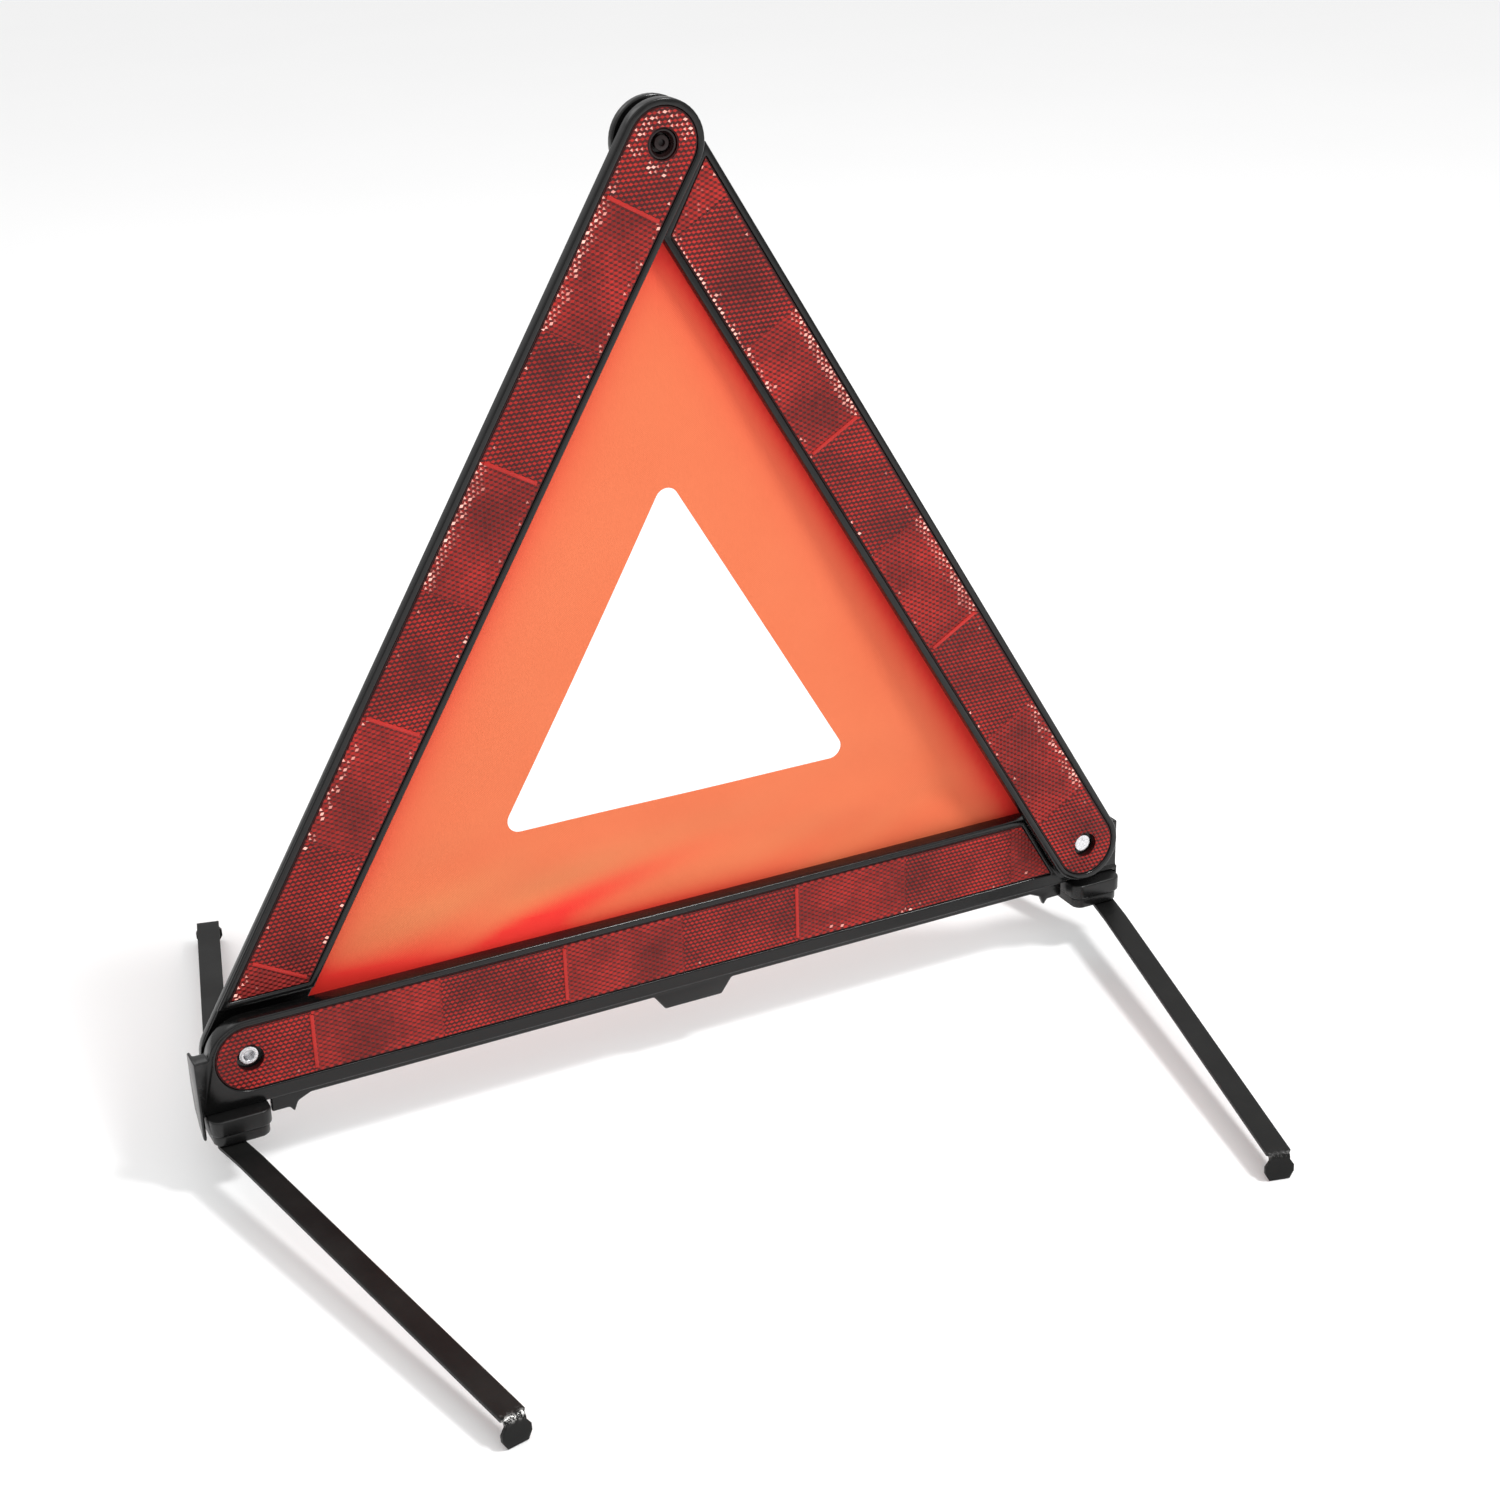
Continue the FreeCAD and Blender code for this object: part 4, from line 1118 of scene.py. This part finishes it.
# %% Leg sizes
LEG_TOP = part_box("front_left_leg")[1].z
LEG_WIDE = 11 * MM
NECK_WIDE = 9.2 * MM
FOOT_WIDE = 13 * MM
LEG_THICK = 1.6 * MM
LEG_REACH = 222 * MM
LEG_FLAT = 18 * MM          # level part at the root
LEG_FALL = math.tan(math.radians(3.3))
TURN = 4 * MM               # from the bend to the leg's full reach
BEND_LEAD = 1.5 * MM        # the bend starts this far before its middle
BEND_RADIUS = 3.0 * MM
FOOT_ANGLE = math.radians(86)
WORN_REACH = 1.3 * MM       # how far the rubbed paint reaches from the bend
RUBBED = {"front_left": 1}  # this leg is rubbed most
BARELY_RUBBED = 0.1
print("leg top at", round(LEG_TOP / MM, 2), "mm")


# %% Leg outline and bend
def leg_outline():
    """The flat blank's half outline as (length, half width) points."""
    half = LEG_WIDE / 2
    neck = NECK_WIDE / 2
    foot = FOOT_WIDE / 2
    bend = LEG_REACH - TURN
    foot_length = LEG_TOP - (bend - LEG_FLAT) * LEG_FALL
    tip = bend + foot_length - 0.2 * MM
    root = [(-half * math.cos(a), half * math.sin(a)) for a in np.radians(np.linspace(0, 90, 9))]
    return root + [(bend - 0.6 * MM, half), (bend + 0.2 * MM, neck), (bend + 3.4 * MM, neck),
                   (bend + 6.2 * MM, foot), (tip - 3.4 * MM, foot), (tip, neck)], bend, tip


def bent(length, bend):
    """Where a point of the blank comes to lie on the bent centre line: (distance out, drop)."""
    slope = math.atan(LEG_FALL)
    if length <= LEG_FLAT:
        return length, 0.0
    start_out = bend - BEND_LEAD
    if length <= start_out:
        return length, (length - LEG_FLAT) * LEG_FALL
    start_drop = (start_out - LEG_FLAT) * LEG_FALL
    run = length - start_out
    angle = min(run / BEND_RADIUS, FOOT_ANGLE - slope)
    out = start_out + BEND_RADIUS * (math.sin(slope + angle) - math.sin(slope))
    drop = start_drop + BEND_RADIUS * (math.cos(slope) - math.cos(slope + angle))
    rest = run - angle * BEND_RADIUS
    return out + rest * math.cos(slope + angle), drop + rest * math.sin(slope + angle)


# %% One leg
def strip_leg(word):
    """One leg, laid out along x from its pin."""
    outline, bend, tip = leg_outline()
    stations = sorted({round(x, 6) for x, _ in outline}
                      | {round(x, 6) for x in np.linspace(0, bend - 4 * MM, 24)}
                      | {round(bend - BEND_LEAD + i * 0.5 * MM, 6) for i in range(12)}
                      | {round(x, 6) for x in np.linspace(bend + 7 * MM, tip - 4 * MM, 3)})
    xs, ws = [x for x, _ in outline], [w for _, w in outline]
    columns = [-1, -0.8, -0.3, 0.3, 0.8, 1]
    points, faces, rub = [], [], []
    for x in stations:
        half = float(np.interp(x, xs, ws))
        out, drop = bent(x, bend)
        worn = math.exp(-((x - bend - 0.6 * MM) / WORN_REACH) ** 2) * RUBBED.get(word, BARELY_RUBBED)
        for share in columns:
            points.append((out, share * half, LEG_TOP - drop))
            rub.append(worn)
    wide = len(columns)
    for i in range(len(stations) - 1):
        for j in range(wide - 1):
            first = i * wide + j
            faces.append((first, first + 1, first + wide + 1, first + wide))
    bpy.ops.object.select_all(action="DESELECT")
    bpy.ops.mesh.primitive_plane_add(size=1)
    leg = named(f"{word}_strip_leg")
    leg.data.clear_geometry()
    leg.data.from_pydata(points, [], [face[::-1] for face in faces])
    attribute = leg.data.attributes.new("rub", "FLOAT", "POINT")
    attribute.data.foreach_set("value", np.array(rub, np.float32))
    edit(leg, SELECT_ALL, MERGE, OUTWARD)
    if sum(face.normal.z for face in leg.data.polygons) < 0:
        leg.data.flip_normals()
    modify(leg, "SOLIDIFY", thickness=LEG_THICK, offset=-1, use_even_offset=True)
    modify(leg, "BEVEL", width=0.28 * MM, segments=2, limit_method="ANGLE",
           angle_limit=math.radians(50))
    smooth(leg, 40)
    return leg


# %% [markdown]
# The four legs are alike. Each is made once along x and then turned to its own heading: outwards
# from the triangle, and splayed a little towards the middle.

# %% Four legs
SPLAY = {"front_left": 11.5, "front_right": 14, "rear_left": 14, "rear_right": 11.5}
for word in LEG_WORDS:
    pivot = Vector(joints[f"{word}_leg_turn"]["pos_m"])
    side = -1 if pivot.x < 0 else 1
    front = -1 if pivot.y < 0 else 1
    splay = math.radians(SPLAY[word])
    heading = math.atan2(front * math.cos(splay), -side * math.sin(splay))
    leg = strip_leg(word)
    settle(leg, Matrix.Translation((pivot.x, pivot.y, 0)) @ Matrix.Rotation(heading, 4, "Z"))
    finish(leg, f"{word}_leg", leg_paint, "leg_steel", f"{word}_leg")
    print(leg.name, len(leg.data.polygons), "faces, lowest",
          round(min(v.co.z for v in leg.data.vertices) / MM, 2), "mm")

# %% [markdown]
# ## Cloth
#
# The cloth is one thin triangle, held along its three edges by the arms, with a triangular window
# cut out of its middle. When an arm folds down the real cloth crumples into the gap, so the sheet
# is made as a left and a right half. Its size follows from the arms: it reaches a little way
# behind each of them.

# %% Cloth sizes
cloth_low, cloth_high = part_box("fabric_panel")
CLOTH_THICK = 0.45 * MM
CLOTH_LAP = 6 * MM          # cloth behind the arms
CLOTH_OFF = 0.6 * MM        # cloth behind an arm's back
EASED_OUT = 85 * MM         # from an arm's middle line to where the cloth is level again
PEG_CLEAR = 9 * MM          # the folds start this far above the foot, over the pegs
WINDOW_SIDE = 174 * MM
WINDOW_ROUND = 5.7 * MM
GRID = 3 * MM
TAN60 = math.tan(math.radians(60))
base_y = (cloth_high.y + cloth_low.y) / 2
foot_z = cloth_low.z
tray_left = seen_from("left", "left_arm_tray")
ARM_HALF = tray_left[:, 1].max()
ARM_BACK = -tray_left[np.abs(tray_left[:, 0] - 0.1) < 0.2][:, 2].min()
edge_in = ARM_HALF - CLOTH_LAP
half_base = -left_hinge.x - (edge_in + (foot_z - left_hinge.z) * COS60) / SIN60
tall = half_base * TAN60
centre_height = left_hinge.z + SPAN / 2 * math.tan(math.radians(30))
sides = {"left": (left_hinge, 1, apex.y), "right": (right_hinge, -1, -apex.y)}
print("cloth half is", round(half_base, 4), "by", round(tall, 4), "m")

# %% [markdown]
# The cloth lies behind the base arm, and is pushed back where a side arm is in front of it. It is
# stretched, but not perfectly: soft waves run along the lower edge, one bulge sits low on the left
# and faint folds come out of the right corner. All are sums of sines and bell curves.


# %% How the cloth lies
def behind_arm(arm, x, z):
    """Where the back of a side arm lies in y, and how far a place is from its middle line."""
    hinge, way, far_y = sides[arm]
    out, rise = way * (x - hinge.x), z - hinge.z
    along = out * COS60 + rise * SIN60
    inward = out * SIN60 - rise * COS60
    return hinge.y + (far_y - hinge.y) * along / SPAN + ARM_BACK, inward


def fade(value, start, stop):
    """1 before start, 0 after stop, smooth between."""
    share = np.clip((stop - value) / (stop - start), 0, 1)
    return share * share * (3 - 2 * share)


def hang(x, z):
    """How the cloth lies: behind the base arm, and behind each side arm along its edge."""
    extra = np.zeros_like(x)
    for arm in sides:
        back_y, inward = behind_arm(arm, x, z)
        need = np.maximum(back_y + CLOTH_OFF - base_y, 0) * fade(inward, ARM_HALF, EASED_OUT)
        extra = np.maximum(extra, need)
    return base_y + extra


def swell(phase, height):
    """A ripple between 0 and twice its height, so that it only leans backwards."""
    return (1 + np.sin(phase)) * height


def bell(value, centre, reach):
    """1 at a centre, fading to both sides."""
    return np.exp(-((value - centre) / reach) ** 2)


def wave(x, z):
    """Soft folds, all behind the even surface."""
    rise = z - foot_z
    ripple = swell(x * 60 + rise * 150 + 1.1, 0.8 * MM)
    streak = swell(rise * 190 - x * 30 + 0.6, 0.6 * MM)
    bulge = 2.2 * MM * bell(x, -82 * MM, 26 * MM) * bell(rise, 0, 30 * MM)
    fold = swell(rise * 120 + x * 70, 0.6 * MM) * bell(x, 130 * MM, 50 * MM) * bell(rise, 0, 60 * MM)
    belly = swell(z * 24 + x * 11, 0.5 * MM)
    inset = np.clip((rise - PEG_CLEAR) / (20 * MM), 0, 1)
    for arm in sides:
        inset = np.minimum(inset, (behind_arm(arm, x, z)[1] - edge_in) / (30 * MM))
    return (near(rise, 40 * MM) * (ripple + streak) + bulge + fold + belly) * np.clip(inset, 0, 1)


# %% [markdown]
# Near the arms and along the hem the cloth is painted redder, painted shade where less light reaches
# it. A few slanting streaks, a paler band, a short pull and a dark spot low on the left are painted
# shade and light that follow the folds.


# %% Redness of the cloth
def painted_cloth_shade(x, z):
    """How much painted shade reddens the cloth at each place, from 0 in the open to 1."""
    to_left = behind_arm("left", x, z)[1] - ARM_HALF
    to_right = behind_arm("right", x, z)[1] - ARM_HALF
    hem = np.maximum(z - left_hinge.z - ARM_HALF, 0)
    # Painted shade: redder close to each arm and along the hem.
    red = 0.2 + 0.65 * near(to_left, 8 * MM) + 0.9 * near(to_right, 9 * MM)
    red += near(hem, 9 * MM) * np.clip(0.55 - x / 0.2, 0.15, 0.9)
    # Painted light and shade: a paler band low on the left, slanting streaks along the folds, a pull
    # and a dark spot.
    red -= 0.22 * bell(hem, 22 * MM, 14 * MM) * np.clip(0.5 - x / 0.16, 0, 1)
    slant = hem - 0.28 * (x + 150 * MM)
    streaks = np.sin(slant / (4.2 * MM) + 1.5 * np.sin(x / (30 * MM))) * near(hem, 22 * MM)
    red += 0.16 * streaks * np.clip(0.9 - (x - 10 * MM) / 0.12, 0.3, 1)
    pull_line = 12 * MM + 0.2 * (x + 50 * MM)
    red += 0.5 * bell(x, -50 * MM, 45 * MM) * bell(hem, pull_line, 6 * MM)
    red += 0.6 * bell(x, -79 * MM, 14 * MM) * bell(hem, 0, 8 * MM)
    return np.clip(red, 0, 1)


# %% [markdown]
# The window is cut with a boolean, as a punch would: a three-sided prism with rounded corners is
# stood through the sheet and taken away from it.


# %% Window cutter
def window_cutter():
    """A prism with rounded corners, through the cloth where its window goes."""
    corner_out = (WINDOW_SIDE - 2 * WINDOW_ROUND * TAN60) / (2 * SIN60)
    rim = []
    for turn in (90, 210, 330):
        corner_x = corner_out * math.cos(math.radians(turn))
        corner_z = centre_height + corner_out * math.sin(math.radians(turn))
        for angle in np.radians(np.linspace(turn - 60, turn + 60, 13)):
            rim.append((corner_x + WINDOW_ROUND * math.cos(angle),
                        corner_z + WINDOW_ROUND * math.sin(angle)))
    bpy.ops.object.select_all(action="DESELECT")
    bpy.ops.mesh.primitive_plane_add(size=1)
    cutter = named("window_cutter")
    cutter.data.clear_geometry()
    cutter.data.from_pydata([(x, -0.05, z) for x, z in rim], [], [tuple(range(len(rim)))])
    edit(cutter, SELECT_ALL, (bpy.ops.mesh.extrude_region_move,
         {"TRANSFORM_OT_translate": {"value": (0, 0.1, 0)}}), SELECT_ALL, OUTWARD)
    return cutter


# %% One half of the cloth
def cloth_half(name, side):
    """One half of the cloth, cut along the middle; side is -1 for the left half."""
    bpy.ops.object.select_all(action="DESELECT")
    columns = math.ceil(half_base / GRID)
    rows = math.ceil(tall / GRID)
    bpy.ops.mesh.primitive_grid_add(x_subdivisions=columns, y_subdivisions=rows, size=1)
    half = named(name)
    half.data.transform(Matrix.Translation((side * half_base / 2, 0, foot_z + tall / 2))
                        @ Matrix.Rotation(math.radians(90), 4, "X")
                        @ Matrix.Diagonal((half_base, tall, 1, 1)))
    edit(half, SELECT_ALL, (bpy.ops.mesh.bisect, {
        "plane_co": (0, 0, foot_z + tall), "plane_no": (side * SIN60, 0, COS60),
        "clear_outer": True}))
    cutter = window_cutter()
    modify(half, "SOLIDIFY", thickness=CLOTH_THICK, offset=0)
    modify(half, "BOOLEAN", operation="DIFFERENCE", object=cutter, solver="EXACT")
    bpy.data.objects.remove(cutter)
    mesh = half.data
    points = np.array([v.co for v in mesh.vertices])
    x, z = points[:, 0], points[:, 2]
    points[:, 1] += hang(x, z) + wave(x, z)
    mesh.vertices.foreach_set("co", points.astype(np.float32).ravel())
    mesh.update()
    # The edge attribute carries the painted shade.
    attribute = mesh.attributes.new("edge", "FLOAT", "POINT")
    attribute.data.foreach_set("value", painted_cloth_shade(x, z).astype(np.float32))
    return smooth(half, 60)


# %% Two halves
for word, side in (("left", -1), ("right", 1)):
    half = cloth_half(f"cloth_{word}", side)
    finish(half, "root", cloth_orange, "fluorescent_cloth")
    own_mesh(half)
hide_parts("fabric_panel")

# %% [markdown]
# Five small pegs clip the cloth's lower edge to the back of the base arm. They are the frame's own
# solids, softened like the trays.

# %% Cloth pegs
PEG_EDGE = 0.2 * MM
softened("fabric_pegs", "cloth_pegs", "root", catch_plastic, "black_plastic", PEG_EDGE)

# %% [markdown]
# ## The last lines
#
# The visual model's box is worked out and printed.

# %% Finish
low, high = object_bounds()
print("visual box", [round(v / MM, 1) for v in (*low, *high)])
